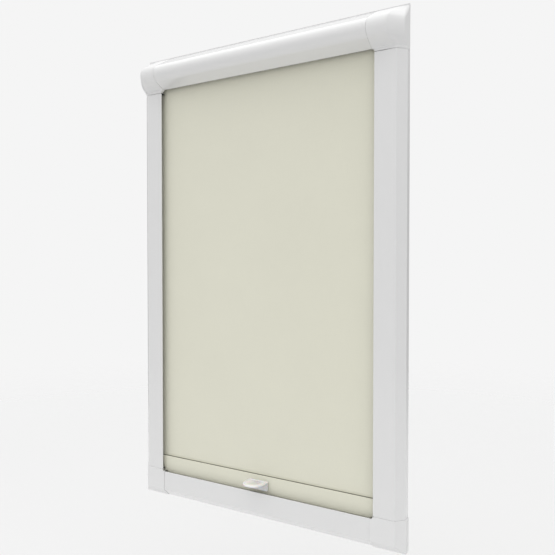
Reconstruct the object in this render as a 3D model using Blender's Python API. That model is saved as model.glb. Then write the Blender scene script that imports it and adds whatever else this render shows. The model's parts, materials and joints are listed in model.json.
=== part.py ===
"""Framed roller blind: a wall-hung cassette with a sprung roller, two side channels, a bottom channel and
a pull bar that slides between them.

Metres. X runs across the window, -Y points into the room and +Z is up. The origin is the middle of the
cassette's wall face. Heights are first written above the sill line, which is the lower edge of the bottom
channel, and up() turns them into Z. Depths are negative Y, measured from the wall.
"""

import math

import bmesh
import bpy
import numpy as np

# Frame
OVERALL_WIDTH = 0.506
OVERALL_HEIGHT = 0.820
CLEARANCE = 0.0003  # gap between pieces that touch
OVERLAP = 0.0005  # how far pieces that are joined into one reach into each other
CUT_OVER = 0.01  # how far cutters reach past what they cut

# Channel extrusion, the same on both sides and along the bottom
CHANNEL_WIDTH = 0.047
CHANNEL_DEPTH = 0.025
CHANNEL_CHAMFER = 0.013
CHANNEL_WALL = 0.0015
SLOT_DEPTH = 0.026
FIXING_IN_SLOT = 0.65  # of the slot's depth
BOTTOM_FIXING_AT = 0.6  # of the bottom channel's half length
BACK_FIXING_AT = 0.7  # of the cassette's half length
FIXING_HOLE_RADIUS = 0.0025
FIXING_HOLES_PER_SIDE = 3

# Bottom corner pieces and the small fillet that they and the end caps put in the window's corners
WINDOW_FILLET = 0.004
CORNER_PROUD = 0.001
CORNER_WALL = 0.002
SPIGOT_LENGTH = 0.030
SPIGOT_ROOT = 0.020
STOP_THICKNESS = 0.003
STOP_FOOT = 0.012
STOP_BACK_DEPTH = 0.003

# Cassette section, from the wall forwards
CASSETTE_HEIGHT = 0.065
NOSE_REACH = 0.0515
NOSE_RADIUS = 0.0175
NOSE_ABOVE_LIP = 0.0242
COVER_WALL = 0.0015
COVER_LIP_SETBACK = 0.001
LIP_RETURN = 0.0012
BACK_WALL = 0.0018
TOP_RIM_DEPTH = 0.0032
TOP_RIM_HEIGHT = 0.002
BACK_LEDGE = 0.008
BACK_LEDGE_RISE = 0.0013
BACK_FOOT = 0.003

# End caps
CAP_DROP = 0.0054
CAP_WALL = 0.002
CAP_SLANT_WIDTH = 0.0205
CAP_SIDE_REACH = 0.027
SLOPE_RINGS = 8
CAP_TONGUE_LENGTH = 0.012
CAP_TONGUE_LOW = 0.013
CAP_TONGUE_HIGH = 0.045
CAP_MOUTH_REACH = 0.01
CAP_HOLLOW_REACH = 0.02

# Fabric
FABRIC_DEPTH = 0.013
FABRIC_THICKNESS = 0.0005
FABRIC_IN_SLOT = 0.016

# Roller
ROLLER_ABOVE_LIP = 0.025
TUBE_RADIUS = 0.0125
TUBE_WALL = 0.001
ROLL_THICKNESS = 0.0006
PLUG_LENGTH = 0.020
PLUG_FLANGE = 0.0018
PIN_RADIUS = 0.003
SHAFT_RADIUS = 0.0035
SHAFT_LENGTH = 0.190
SHAFT_FLAT = 0.7  # of its radius
SHAFT_END_SHOWS = 0.002
PIN_FROM_PLUG_END = 0.002
COLLAR_LENGTH = 0.012
COLLAR_WALL = 0.002
SPRING_TURNS = 22
SPRING_RADIUS = 0.0065
SPRING_WIRE_RADIUS = 0.0006
BRACKET_THICKNESS = 0.002
BRACKET_RADIUS = 0.014
BRACKET_FROM_TUBE = 0.006
BRACKET_SCREW_ANGLE = 50  # degrees either way from level
BRACKET_EDGE = 0.001

# Pull bar
BAR_DEPTH = 0.0085
BAR_HEIGHT = 0.0305
BAR_BELOW_EDGE = 0.003  # how far the bar dips into the bottom channel's slot
SLEEVE_THICKNESS = 0.0005
BAR_WALL = 0.0012
BAR_SLOT = 0.0016
SPLINE_RADIUS = 0.0013
SPLINE_DROP = 0.006
SHOE_HEIGHT = 0.026
SHOE_THICKNESS = 0.0045
SHOE_FLANGE = 0.0022
SHOE_PLAY = 0.0006
PAD_SIZE = 0.012

# Pull handle
HANDLE_WIDTH = 0.038
HANDLE_HEIGHT = 0.016
HANDLE_ABOVE_EDGE = 0.004
HANDLE_PLATE = 0.0045
HANDLE_REACH = 0.029
HANDLE_SHELF = 0.0026

# Pile seals
PILE_WIDTH = 0.005
PILE_FROM_MOUTH = 0.003
RIB = 0.0008

# Screws
SCREW_RADIUS = 0.0014
SCREW_HEAD_RADIUS = 0.0028
SCREW_HEAD_HEIGHT = 0.0016
SCREW_BITE = 0.008
SCREW_TOP_SHARE = 0.7  # of the head's radius, where its dome begins
SCREW_DOME_SHARE = 0.3  # of the head's height
ROUND_SIDES = 32
SMALL_SIDES = 12

# Sizes that follow
HALF_WIDTH = OVERALL_WIDTH / 2
WINDOW_HALF = HALF_WIDTH - CHANNEL_WIDTH
SEAM_HALF = WINDOW_HALF - WINDOW_FILLET
LIP_HEIGHT = OVERALL_HEIGHT - CASSETTE_HEIGHT
CAP_BOTTOM = LIP_HEIGHT - CAP_DROP
CORNER_TOP = CHANNEL_WIDTH + WINDOW_FILLET
BAR_ABOVE_SILL = CHANNEL_WIDTH - BAR_BELOW_EDGE
HANDLE_ABOVE_SILL = CHANNEL_WIDTH + HANDLE_ABOVE_EDGE
FABRIC_HALF = WINDOW_HALF + FABRIC_IN_SLOT
SLEEVE_HALF = FABRIC_HALF
SHEET_FRONT = -FABRIC_DEPTH - FABRIC_THICKNESS / 2
ROLL_INNER = TUBE_RADIUS + CLEARANCE
ROLL_RADIUS = ROLL_INNER + ROLL_THICKNESS
ROLLER_Y = SHEET_FRONT - CLEARANCE - ROLL_RADIUS
ROLLER_HEIGHT = LIP_HEIGHT + ROLLER_ABOVE_LIP
TUBE_HALF = FABRIC_HALF
BRACKET_X = TUBE_HALF + BRACKET_FROM_TUBE
BAR_FRONT = -FABRIC_DEPTH - BAR_DEPTH / 2
BAR_BACK = BAR_FRONT + BAR_DEPTH
BAR_TOP = BAR_ABOVE_SILL + BAR_HEIGHT
TONGUE_LOW = LIP_HEIGHT + CAP_TONGUE_LOW
TONGUE_HIGH = LIP_HEIGHT + CAP_TONGUE_HIGH
POST_RADIUS = BRACKET_RADIUS / 4
SCREW_X_TIP = BRACKET_X + BRACKET_THICKNESS + CLEARANCE + SCREW_BITE
SHOE_BOTTOM = BAR_ABOVE_SILL + (BAR_HEIGHT - SHOE_HEIGHT) / 2
NOSE_HEIGHT = LIP_HEIGHT + NOSE_ABOVE_LIP
RIM_HEIGHT = OVERALL_HEIGHT - TOP_RIM_HEIGHT

WHITE_PAINT = ("white_paint", (0.80, 0.80, 0.80), 0.35, 0.0)
WHITE_PLASTIC = ("white_plastic", (0.80, 0.80, 0.80), 0.40, 0.0)
ALUMINIUM = ("mill_aluminium", (0.62, 0.63, 0.64), 0.35, 1.0)
STEEL = ("zinc_steel", (0.55, 0.56, 0.58), 0.30, 1.0)
SPRING_STEEL = ("spring_steel", (0.30, 0.31, 0.33), 0.35, 1.0)
FABRIC = ("fabric", (0.66, 0.65, 0.55), 0.85, 0.0)
PILE = ("pile", (0.30, 0.30, 0.29), 0.95, 0.0)
NYLON = ("nylon", (0.72, 0.72, 0.70), 0.45, 0.0)
RUBBER = ("rubber", (0.06, 0.06, 0.06), 0.80, 0.0)
HANDLE_PLASTIC = ("handle_plastic", (0.62, 0.62, 0.63), 0.30, 0.0)


def up(height):
    """The Z of a height above the sill line."""
    return height - OVERALL_HEIGHT + CASSETTE_HEIGHT / 2


def material(look):
    """The material of this look, made once."""
    name, colour, roughness, metallic = look
    found = bpy.data.materials.get(name)
    if found:
        return found
    made = bpy.data.materials.new(name)
    made.use_nodes = True
    shader = made.node_tree.nodes["Principled BSDF"]
    shader.inputs["Base Color"].default_value = (*colour, 1.0)
    shader.inputs["Roughness"].default_value = roughness
    shader.inputs["Metallic"].default_value = metallic
    return made


def solid(name, points, faces, look=None, origin=(0, 0, 0)):
    """An object of these world points, with its faces turned outwards and its origin where asked."""
    mesh = bpy.data.meshes.new(name)
    mesh.from_pydata([tuple(np.subtract(p, origin)) for p in points], [], faces)
    work = bmesh.new()
    work.from_mesh(mesh)
    bmesh.ops.recalc_face_normals(work, faces=work.faces)
    work.to_mesh(mesh)
    work.free()
    made = bpy.data.objects.new(name, mesh)
    made.location = origin
    bpy.context.scene.collection.objects.link(made)
    if look:
        mesh.materials.append(material(look))
    return made


def prism(name, outline, place, low, high, look=None, origin=(0, 0, 0)):
    """A closed outline of (a, b) pairs carried from low to high. place(a, b, t) gives the world point."""
    count = len(outline)
    points = [place(a, b, t) for t in (low, high) for a, b in outline]
    sides = [(i, (i + 1) % count, count + (i + 1) % count, count + i) for i in range(count)]
    ends = [tuple(range(count)), tuple(range(count, 2 * count))]
    return solid(name, points, sides + ends, look, origin)


def along_x(name, outline, low, high, look=None, origin=(0, 0, 0)):
    """A prism whose outline is (y, height) pairs."""
    return prism(name, outline, lambda y, h, x: (x, y, up(h)), low, high, look, origin)


def along_z(name, outline, low, high, look=None, origin=(0, 0, 0)):
    """A prism whose outline is (x, y) pairs, between two heights."""
    return prism(name, outline, lambda x, y, h: (x, y, up(h)), low, high, look, origin)


def along_y(name, outline, low, high, look=None, origin=(0, 0, 0)):
    """A prism whose outline is (x, height) pairs, between two depths."""
    return prism(name, outline, lambda x, h, y: (x, y, up(h)), low, high, look, origin)


def box(name, xs, ys, heights, look=None, origin=(0, 0, 0)):
    """A box between two values of x, of y and of height."""
    outline = [(xs[0], ys[0]), (xs[1], ys[0]), (xs[1], ys[1]), (xs[0], ys[1])]
    return along_z(name, outline, heights[0], heights[1], look, origin)


def circle(radius, centre, sides=ROUND_SIDES):
    """Points of a circle in the plane of an outline."""
    turns = np.linspace(0, 2 * math.pi, sides, endpoint=False)
    return [(centre[0] + radius * math.cos(t), centre[1] + radius * math.sin(t)) for t in turns]


def smooth(made):
    """The object shaded smooth, with its corners kept sharp."""
    made.data.shade_smooth()
    made.data.set_sharp_from_angle(angle=math.radians(40))
    return made


def x_axis_place(y, height):
    """Points round a line along X through this depth and height, t along it."""
    return lambda t, r, a: (t, y + r * math.cos(a), up(height) + r * math.sin(a))


def y_axis_place(x, height):
    """Points round a line along Y."""
    return lambda t, r, a: (x + r * math.cos(a), t, up(height) + r * math.sin(a))


def turned(name, profile, place, look=None, origin=(0, 0, 0), sides=ROUND_SIDES):
    """A turned solid. profile is (t, radius) pairs from end to end, closed by a flat face at each end."""
    angles = np.linspace(0, 2 * math.pi, sides, endpoint=False)
    points = [place(t, r, a) for t, r in profile for a in angles]
    rows = range(len(profile) - 1)
    faces = [
        (i * sides + j, i * sides + (j + 1) % sides, (i + 1) * sides + (j + 1) % sides, (i + 1) * sides + j)
        for i in rows
        for j in range(sides)
    ]
    last = (len(profile) - 1) * sides
    faces += [tuple(range(sides)), tuple(range(last, last + sides))]
    return smooth(solid(name, points, faces, look, origin))


def turned_ring(name, profile, place, look=None, origin=(0, 0, 0), sides=ROUND_SIDES):
    """A turned solid with a hole along its axis. profile is a closed loop of (t, radius) pairs."""
    angles = np.linspace(0, 2 * math.pi, sides, endpoint=False)
    points = [place(t, r, a) for t, r in profile for a in angles]
    count = len(profile)
    faces = []
    for i in range(count):
        here, there = i * sides, (i + 1) % count * sides
        faces += [
            (here + j, here + (j + 1) % sides, there + (j + 1) % sides, there + j) for j in range(sides)
        ]
    return smooth(solid(name, points, faces, look, origin))


def sleeve(name, xs, outer, inner, place, look, origin=(0, 0, 0)):
    """A plain round sleeve between two values of t."""
    profile = [(xs[0], outer), (xs[1], outer), (xs[1], inner), (xs[0], inner)]
    return turned_ring(name, profile, place, look, origin)


def screw(name, place, head_at, tip_at, look):
    """A pan-head screw along the place's axis, from the top of its head to its tip."""
    step = math.copysign(SCREW_HEAD_HEIGHT, tip_at - head_at)
    profile = [
        (head_at, SCREW_HEAD_RADIUS * SCREW_TOP_SHARE),
        (head_at + step * SCREW_DOME_SHARE, SCREW_HEAD_RADIUS),
        (head_at + step, SCREW_HEAD_RADIUS),
        (head_at + step, SCREW_RADIUS),
        (tip_at, SCREW_RADIUS),
    ]
    return turned(name, profile, place, look, sides=SMALL_SIDES)


def boolean(target, other, operation):
    """The other solid cut from the target, or joined to it, and hidden."""
    step = target.modifiers.new(other.name, "BOOLEAN")
    step.operation = operation
    step.object = other
    step.solver = "EXACT"
    other.hide_render = True
    other.hide_set(True)
    other.display_type = "WIRE"
    return target


def cut(target, *cutters):
    """The target with each cutter taken out of it."""
    for cutter in cutters:
        boolean(target, cutter, "DIFFERENCE")
    return target


def join(target, *others):
    """The target with each other solid joined to it."""
    for other in others:
        boolean(target, other, "UNION")
    return target


def tangent_point(point, centre, radius, turn):
    """Where the line from a point touches a circle. turn is +1 or -1 and picks one of the two lines."""
    away = np.subtract(centre, point)
    distance = np.hypot(*away)
    angle = math.atan2(away[1], away[0]) + turn * math.asin(radius / distance)
    length = math.sqrt(distance**2 - radius**2)
    return (point[0] + length * math.cos(angle), point[1] + length * math.sin(angle))


def cassette_path(inset=0.0, steps=14):
    """The cover's section as (y, height) from lip to top: a slope, the round nose and a slope back."""
    lip = (-CHANNEL_DEPTH + COVER_LIP_SETBACK, LIP_HEIGHT)
    top = (-TOP_RIM_DEPTH - CLEARANCE, OVERALL_HEIGHT - TOP_RIM_HEIGHT)
    nose = (NOSE_RADIUS - NOSE_REACH, LIP_HEIGHT + NOSE_ABOVE_LIP)
    touch_low = tangent_point(lip, nose, NOSE_RADIUS, 1)
    touch_high = tangent_point(top, nose, NOSE_RADIUS, -1)
    start = math.atan2(touch_low[1] - nose[1], touch_low[0] - nose[0]) % (2 * math.pi)
    end = math.atan2(touch_high[1] - nose[1], touch_high[0] - nose[0]) % (2 * math.pi)
    radius = NOSE_RADIUS - inset
    arc = [
        (nose[0] + radius * math.cos(a), nose[1] + radius * math.sin(a))
        for a in np.linspace(start, end, steps)
    ]
    low = (lip[0] - inset * math.cos(start), lip[1] - inset * math.sin(start))
    high = (top[0], top[1] - inset / math.sin(end))
    return [low, *arc, high]


def front_of_cassette(height, inset=0.0):
    """The cassette's outer Y at a height, or that of its section set in by inset."""
    path = np.array(cassette_path(inset, steps=40))
    return float(np.interp(height, path[:, 1], path[:, 0]))


def channel_outline():
    """The channel's section as (u, y). u runs outwards from the window's edge; the slot opens at u = 0."""
    rib_near, rib_far = PILE_FROM_MOUTH - RIB, PILE_FROM_MOUTH + PILE_WIDTH
    front, back = -CHANNEL_DEPTH, 0.0
    inner_front, inner_back = front + CHANNEL_WALL, back - CHANNEL_WALL
    outer = [
        (0, front),
        (CHANNEL_WIDTH - CHANNEL_CHAMFER, front),
        (CHANNEL_WIDTH, front + CHANNEL_CHAMFER),
        (CHANNEL_WIDTH, back),
        (0, back),
    ]
    rear_slot = [
        (0, inner_back),
        (rib_near, inner_back),
        (rib_near, inner_back - RIB),
        (rib_near + RIB, inner_back - RIB),
        (rib_near + RIB, inner_back),
        (rib_far, inner_back),
        (rib_far, inner_back - RIB),
        (rib_far + RIB, inner_back - RIB),
        (rib_far + RIB, inner_back),
        (SLOT_DEPTH, inner_back),
    ]
    front_slot = [(u, front + back - y) for u, y in reversed(rear_slot)]
    return outer + rear_slot + front_slot


def chamber_outline(inset):
    """The hollow behind the slot as (u, y), shrunk by inset for the spigots that fill it."""
    near = SLOT_DEPTH + CHANNEL_WALL + inset
    far = CHANNEL_WIDTH - CHANNEL_WALL - inset
    front = -CHANNEL_DEPTH + CHANNEL_WALL + inset
    back = -CHANNEL_WALL - inset
    slant = CHANNEL_CHAMFER + (CHANNEL_WALL + inset) * (math.sqrt(2) - 2)
    return [(near, front), (far - slant, front), (far, front + slant), (far, back), (near, back)]


def side_place(side):
    """u outwards from the window's edge, on the side given by -1 or 1."""
    return lambda u, y, h: (side * (WINDOW_HALF + u), y, up(h))


def bottom_place(u, y, x):
    """u downwards from the window's lower edge."""
    return (x, y, up(CHANNEL_WIDTH - u))


def fixing_holes(name, spots):
    """Cutters through the wall face. spots are (x, height) pairs."""
    return [
        along_y(f"{name}_{i}", circle(FIXING_HOLE_RADIUS, spot, SMALL_SIDES), -CUT_OVER, CUT_OVER)
        for i, spot in enumerate(spots)
    ]


def side_channel(side, word):
    low, high = CORNER_TOP + CLEARANCE / 2, CAP_BOTTOM - CLEARANCE / 2
    made = prism(f"side_channel_{word}", channel_outline(), side_place(side), low, high, WHITE_PAINT)
    ends = (low - CUT_OVER, high + CUT_OVER)
    hollow = prism(f"cut_chamber_{word}", chamber_outline(0), side_place(side), *ends)
    heights = np.linspace(low, high, FIXING_HOLES_PER_SIDE + 2)[1:-1]
    x = side * (WINDOW_HALF + SLOT_DEPTH * FIXING_IN_SLOT)
    return cut(made, hollow, *fixing_holes(f"cut_fixing_{word}", [(x, h) for h in heights]))


def bottom_channel():
    half = SEAM_HALF - CLEARANCE / 2
    made = prism("bottom_channel", channel_outline(), bottom_place, -half, half, WHITE_PAINT)
    over = half + CUT_OVER
    hollow = prism("cut_bottom_chamber", chamber_outline(0), bottom_place, -over, over)
    height = CHANNEL_WIDTH - SLOT_DEPTH * FIXING_IN_SLOT
    spots = [(side * half * BOTTOM_FIXING_AT, height) for side in (-1, 1)]
    return cut(made, hollow, *fixing_holes("cut_bottom_fixing", spots))


def hull(name, points, look=None):
    """The convex solid round some points."""
    work = bmesh.new()
    for point in points:
        work.verts.new(point)
    bmesh.ops.convex_hull(work, input=work.verts)
    flat = math.radians(0.1)
    bmesh.ops.dissolve_limit(work, angle_limit=flat, verts=work.verts, edges=work.edges)
    bmesh.ops.recalc_face_normals(work, faces=work.faces)
    mesh = bpy.data.meshes.new(name)
    work.to_mesh(mesh)
    work.free()
    made = bpy.data.objects.new(name, mesh)
    bpy.context.scene.collection.objects.link(made)
    if look:
        mesh.materials.append(material(look))
    return made


def corner_block(name, side, inset, start, back, look=None):
    """The corner's outer form: the side and bottom sections crossing, so that their chamfers mitre.
    u runs outwards and w downwards from the window's corner, and both begin at start."""
    far = CHANNEL_WIDTH + CORNER_PROUD - inset
    front = -CHANNEL_DEPTH - CORNER_PROUD + inset
    slant = CHANNEL_CHAMFER + (CORNER_PROUD - inset) * (2 - math.sqrt(2))
    points = [(u, w, front) for u in (start, far - slant) for w in (start, far - slant)]
    for u, w in ((far, start), (start, far), (far, far)):
        points += [(u, w, front + slant), (u, w, back)]
    points.append((start, start, back))
    world = [(side * (WINDOW_HALF + u), y, up(CHANNEL_WIDTH - w)) for u, w, y in points]
    return hull(name, world, look)


def window_corner_cutter(name, side, edge_height, rise):
    """What a piece in the window's corner is cut back by: the window, less a hollow fillet.
    rise is 1 where the window lies above edge_height and -1 where it lies below."""
    far = 4 * WINDOW_FILLET
    x, seam = side * WINDOW_HALF, side * SEAM_HALF
    centre = edge_height + rise * WINDOW_FILLET
    arc = [
        (seam + side * WINDOW_FILLET * math.cos(t), centre - rise * WINDOW_FILLET * math.sin(t))
        for t in np.linspace(0, math.pi / 2, 7)
    ]
    inner = seam - side * far
    outline = [(inner, centre + rise * far), (x, centre + rise * far), *arc, (inner, edge_height)]
    return along_y(name, outline, -NOSE_REACH - CUT_OVER, CUT_OVER)


def bottom_corner(side, word):
    """Moulded corner: a hollow block over the channels' ends, a spigot into each, and the bar's stop."""
    name = f"bottom_corner_{word}"
    made = corner_block(name, side, 0.0, -WINDOW_FILLET, 0.0, WHITE_PLASTIC)
    hollow = corner_block(f"cut_{name}", side, CORNER_WALL, -4 * WINDOW_FILLET, CUT_OVER)
    cut(made, hollow, window_corner_cutter(f"cut_window_{word}", side, CHANNEL_WIDTH, 1))
    seam, top = SEAM_HALF, CORNER_TOP
    grip, root = CLEARANCE, -CHANNEL_WALL + OVERLAP
    side_root = (top - SPIGOT_ROOT, top - CLEARANCE / 2)
    side_leg = (top - 2 * OVERLAP, top + SPIGOT_LENGTH)
    bottom_root = (side * (seam + CLEARANCE / 2), side * (seam + SPIGOT_ROOT))
    bottom_leg = (side * (seam - SPIGOT_LENGTH), side * (seam + 2 * OVERLAP))
    place = side_place(side)
    legs = [
        prism(f"root_side_{word}", chamber_outline(root), place, *side_root),
        prism(f"leg_side_{word}", chamber_outline(grip), place, *side_leg),
        prism(f"root_bottom_{word}", chamber_outline(root), bottom_place, *bottom_root),
        prism(f"leg_bottom_{word}", chamber_outline(grip), bottom_place, *bottom_leg),
    ]
    stop_from = FABRIC_HALF + BAR_SLOT * 2
    front = -CHANNEL_DEPTH - CORNER_PROUD + CORNER_WALL / 2
    stop = box(
        f"stop_{word}",
        (side * stop_from, side * (stop_from + STOP_THICKNESS)),
        (front, -STOP_BACK_DEPTH),
        (STOP_FOOT, SHOE_BOTTOM - CLEARANCE),
    )
    return join(made, *legs, stop)


def cap_ring(side, height, inset, inner_x, back):
    """The end cap's plan at one height: inner end, front, slant, side and back, set in by inset.
    At the bottom seam the slant is the channel's chamfer; it moves out and forward with the nose. Above
    the nose it keeps its width and leans back with the cassette's section, which it carries to the side
    drawn in by one share throughout."""
    seam_front, seam_side = -CHANNEL_DEPTH, CHANNEL_CHAMFER - CHANNEL_DEPTH
    front, outer_front = front_of_cassette(height, inset), front_of_cassette(height)
    if height < NOSE_HEIGHT:
        outer_front = min(seam_front, outer_front)
        front = min(seam_front + inset, front)
        bulge = (seam_front - outer_front) / (NOSE_REACH + seam_front)
        slant_width = CHANNEL_CHAMFER + bulge * (CAP_SLANT_WIDTH - CHANNEL_CHAMFER)
        side_y = seam_side - bulge * (seam_side + CAP_SIDE_REACH)
        slope = (side_y - outer_front) / slant_width
        move = inset * math.sqrt(1 + slope**2)
    else:
        slant_width = CAP_SLANT_WIDTH
        slope = outer_front * (CAP_SIDE_REACH / NOSE_REACH - 1) / slant_width
        move = math.hypot(inset * slope, front - outer_front)
    edge_x = HALF_WIDTH - slant_width
    far = HALF_WIDTH - inset
    edge = min(edge_x + (front - outer_front - move) / slope, far)
    side_front = max(outer_front + slope * (far - edge_x) + move, front)
    outline = [(inner_x, front), (edge, front), (far, side_front), (far, back), (inner_x, back)]
    return [(side * x, y, up(height)) for x, y in outline]


def loft(name, rings, look=None):
    """A closed solid through rings of as many points each, with the points that meet made one."""
    count = len(rings[0])
    points = [point for ring in rings for point in ring]
    faces = [
        (i * count + j, i * count + (j + 1) % count, (i + 1) * count + (j + 1) % count, (i + 1) * count + j)
        for i in range(len(rings) - 1)
        for j in range(count)
    ]
    last = len(points) - count
    faces += [tuple(range(count)), tuple(range(last, last + count))]
    made = solid(name, points, faces, look)
    work = bmesh.new()
    work.from_mesh(made.data)
    bmesh.ops.remove_doubles(work, verts=work.verts, dist=1e-6)
    bmesh.ops.dissolve_degenerate(work, edges=work.edges, dist=1e-6)
    bmesh.ops.recalc_face_normals(work, faces=work.faces)
    work.to_mesh(made.data)
    work.free()
    return made


def cap_heights(low, high):
    """Heights for a cap's rings, close together round the nose and evenly spaced up the slope above it."""
    path = np.array(cassette_path())[:, 1]
    heights = [*path, *np.linspace(path[-2], path[-1], SLOPE_RINGS)[1:-1]]
    return [low, *sorted(h for h in heights if low + OVERLAP < h < high - OVERLAP), high]


def end_cap(side, word):
    """Moulded end of the cassette: a thin shell with a floor, a spigot for the channel, a tongue that is
    screwed to the cassette's back, and posts for the roller bracket."""
    name = f"end_cap_{word}"
    rings = [
        cap_ring(side, height, 0.0, SEAM_HALF + CLEARANCE / 2, 0.0)
        for height in cap_heights(CAP_BOTTOM, RIM_HEIGHT)
    ]
    made = loft(name, rings, WHITE_PLASTIC)
    inner = [
        cap_ring(side, height, CAP_WALL, SEAM_HALF - CAP_HOLLOW_REACH, CUT_OVER)
        for height in cap_heights(CAP_BOTTOM + CAP_WALL, RIM_HEIGHT - 2 * CAP_WALL)
    ]
    cavity = loft(f"cut_{name}", inner)
    mouth_x = (side * (SEAM_HALF - CUT_OVER), side * (WINDOW_HALF + SLOT_DEPTH))
    mouth_y = (-CHANNEL_DEPTH + CAP_WALL, CUT_OVER)
    mouth_heights = (CAP_BOTTOM - CUT_OVER, CAP_BOTTOM + CAP_MOUTH_REACH)
    mouth = box(f"cut_mouth_{word}", mouth_x, mouth_y, mouth_heights)
    window = window_corner_cutter(f"cut_cap_window_{word}", side, LIP_HEIGHT, -1)
    cut(made, cavity, mouth, window)
    rim = box(
        f"rim_{word}",
        (side * (SEAM_HALF + CLEARANCE / 2), side * HALF_WIDTH),
        (-TOP_RIM_DEPTH, 0.0),
        (RIM_HEIGHT - CAP_WALL, OVERALL_HEIGHT),
    )
    place = side_place(side)
    leg = (CAP_BOTTOM - SPIGOT_LENGTH, CAP_BOTTOM + CAP_WALL / 2)
    spigot = prism(f"leg_cap_{word}", chamber_outline(CLEARANCE), place, *leg)
    tongue_front = -BACK_WALL - CLEARANCE - CAP_WALL
    tongue = box(
        f"tongue_{word}",
        (side * (SEAM_HALF - CAP_TONGUE_LENGTH), side * (HALF_WIDTH - CAP_WALL / 2)),
        (tongue_front, tongue_front + CAP_WALL),
        (TONGUE_LOW, TONGUE_HIGH),
    )
    posts = [
        turned(
            f"post_{i}_{word}",
            [
                (side * (BRACKET_X + BRACKET_THICKNESS + CLEARANCE), POST_RADIUS),
                (side * (HALF_WIDTH - CAP_WALL / 2), POST_RADIUS),
            ],
            x_axis_place(y, height),
            sides=SMALL_SIDES,
        )
        for i, (y, height) in enumerate(bracket_screw_spots())
    ]
    join(made, rim, spigot, tongue, *posts)
    pilots = [
        screw_hole(f"cut_post_{i}_{word}", x_axis_place(y, height), side * BRACKET_X, side * SCREW_X_TIP)
        for i, (y, height) in enumerate(bracket_screw_spots())
    ]
    holes = [
        screw_hole(f"cut_tongue_{i}_{word}", y_axis_place(x, height), -CUT_OVER, CUT_OVER)
        for i, (x, height) in enumerate(cap_screw_spots(side))
    ]
    return cut(made, *pilots, *holes)


def screw_hole(name, place, start, end):
    """A cutter for a screw's shank."""
    radius = SCREW_RADIUS + CLEARANCE
    return turned(name, [(start, radius), (end, radius)], place, sides=SMALL_SIDES)


def bracket_screw_spots():
    """Where the roller bracket is screwed to the cap's posts, as (y, height)."""
    reach = BRACKET_RADIUS - SCREW_HEAD_RADIUS - BRACKET_EDGE
    return [
        (ROLLER_Y + math.cos(angle) * reach, ROLLER_HEIGHT + math.sin(angle) * reach)
        for angle in (math.radians(BRACKET_SCREW_ANGLE), -math.radians(BRACKET_SCREW_ANGLE))
    ]


def cap_screw_spots(side):
    """Where the cap's tongue is screwed to the cassette's back, as (x, height)."""
    x = side * (SEAM_HALF - CAP_TONGUE_LENGTH / 2)
    step = (TONGUE_HIGH - TONGUE_LOW) / 4
    return [(x, TONGUE_LOW + step), (x, TONGUE_HIGH - step)]


def cassette_cover():
    """The curved front shell, with a return behind its lip that backs the pile."""
    outer, inner = cassette_path(), cassette_path(COVER_WALL)
    half = SEAM_HALF - CLEARANCE / 2
    made = along_x("cassette_cover", outer + inner[::-1], -half, half, WHITE_PAINT)
    lip = outer[0][0]
    turn = box("lip_return", (-half, half), (lip, lip + LIP_RETURN), (LIP_HEIGHT, LIP_HEIGHT + PILE_WIDTH))
    return smooth(join(made, turn))


def cassette_back():
    """The wall plate, with the top rim that the cover meets and a ledge behind the fabric."""
    ledge = (LIP_HEIGHT + BACK_LEDGE_RISE, LIP_HEIGHT + BACK_LEDGE_RISE + BACK_WALL)
    foot = LIP_HEIGHT - BACK_FOOT
    shelf = RIM_HEIGHT - TOP_RIM_DEPTH
    outline = [
        (0.0, foot),
        (0.0, OVERALL_HEIGHT),
        (-TOP_RIM_DEPTH, OVERALL_HEIGHT),
        (-TOP_RIM_DEPTH, shelf),
        (-BACK_WALL, shelf),
        (-BACK_WALL, ledge[1]),
        (-BACK_LEDGE, ledge[1]),
        (-BACK_LEDGE, ledge[0]),
        (-BACK_WALL, ledge[0]),
        (-BACK_WALL, foot),
    ]
    half = SEAM_HALF - CLEARANCE / 2
    made = along_x("cassette_back", outline, -half, half, WHITE_PAINT)
    spots = [(side * half * BACK_FIXING_AT, ROLLER_HEIGHT) for side in (-1, 1)]
    holes = [
        screw_hole(f"cut_back_{side}_{i}", y_axis_place(x, height), -CUT_OVER, CUT_OVER)
        for side in (-1, 1)
        for i, (x, height) in enumerate(cap_screw_spots(side))
    ]
    return cut(made, *fixing_holes("cut_back_fixing", spots), *holes)


def d_outline(radius, centre):
    """A circle with a flat on top, which keeps the spring shaft from turning."""
    flat = centre[1] + radius * SHAFT_FLAT
    return [(y, min(height, flat)) for y, height in circle(radius, centre, ROUND_SIDES)]


def roller_bracket(side, word):
    """A round plate for one end of the roller: a D hole for the fixed shaft or a round one for the pin."""
    name = f"roller_bracket_{word}"
    near, far = side * BRACKET_X, side * (BRACKET_X + BRACKET_THICKNESS)
    place = x_axis_place(ROLLER_Y, ROLLER_HEIGHT)
    made = turned(name, [(near, BRACKET_RADIUS), (far, BRACKET_RADIUS)], place, STEEL)
    centre, over = (ROLLER_Y, ROLLER_HEIGHT), side * CUT_OVER
    if side < 0:
        opening = d_outline(SHAFT_RADIUS + CLEARANCE, centre)
    else:
        opening = circle(PIN_RADIUS + CLEARANCE, centre)
    seat = along_x(f"cut_seat_{word}", opening, near - over, far + over)
    holes = [
        screw_hole(f"cut_bracket_{i}_{word}", x_axis_place(*spot), near - over, far + over)
        for i, spot in enumerate(bracket_screw_spots())
    ]
    return cut(made, seat, *holes)


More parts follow.
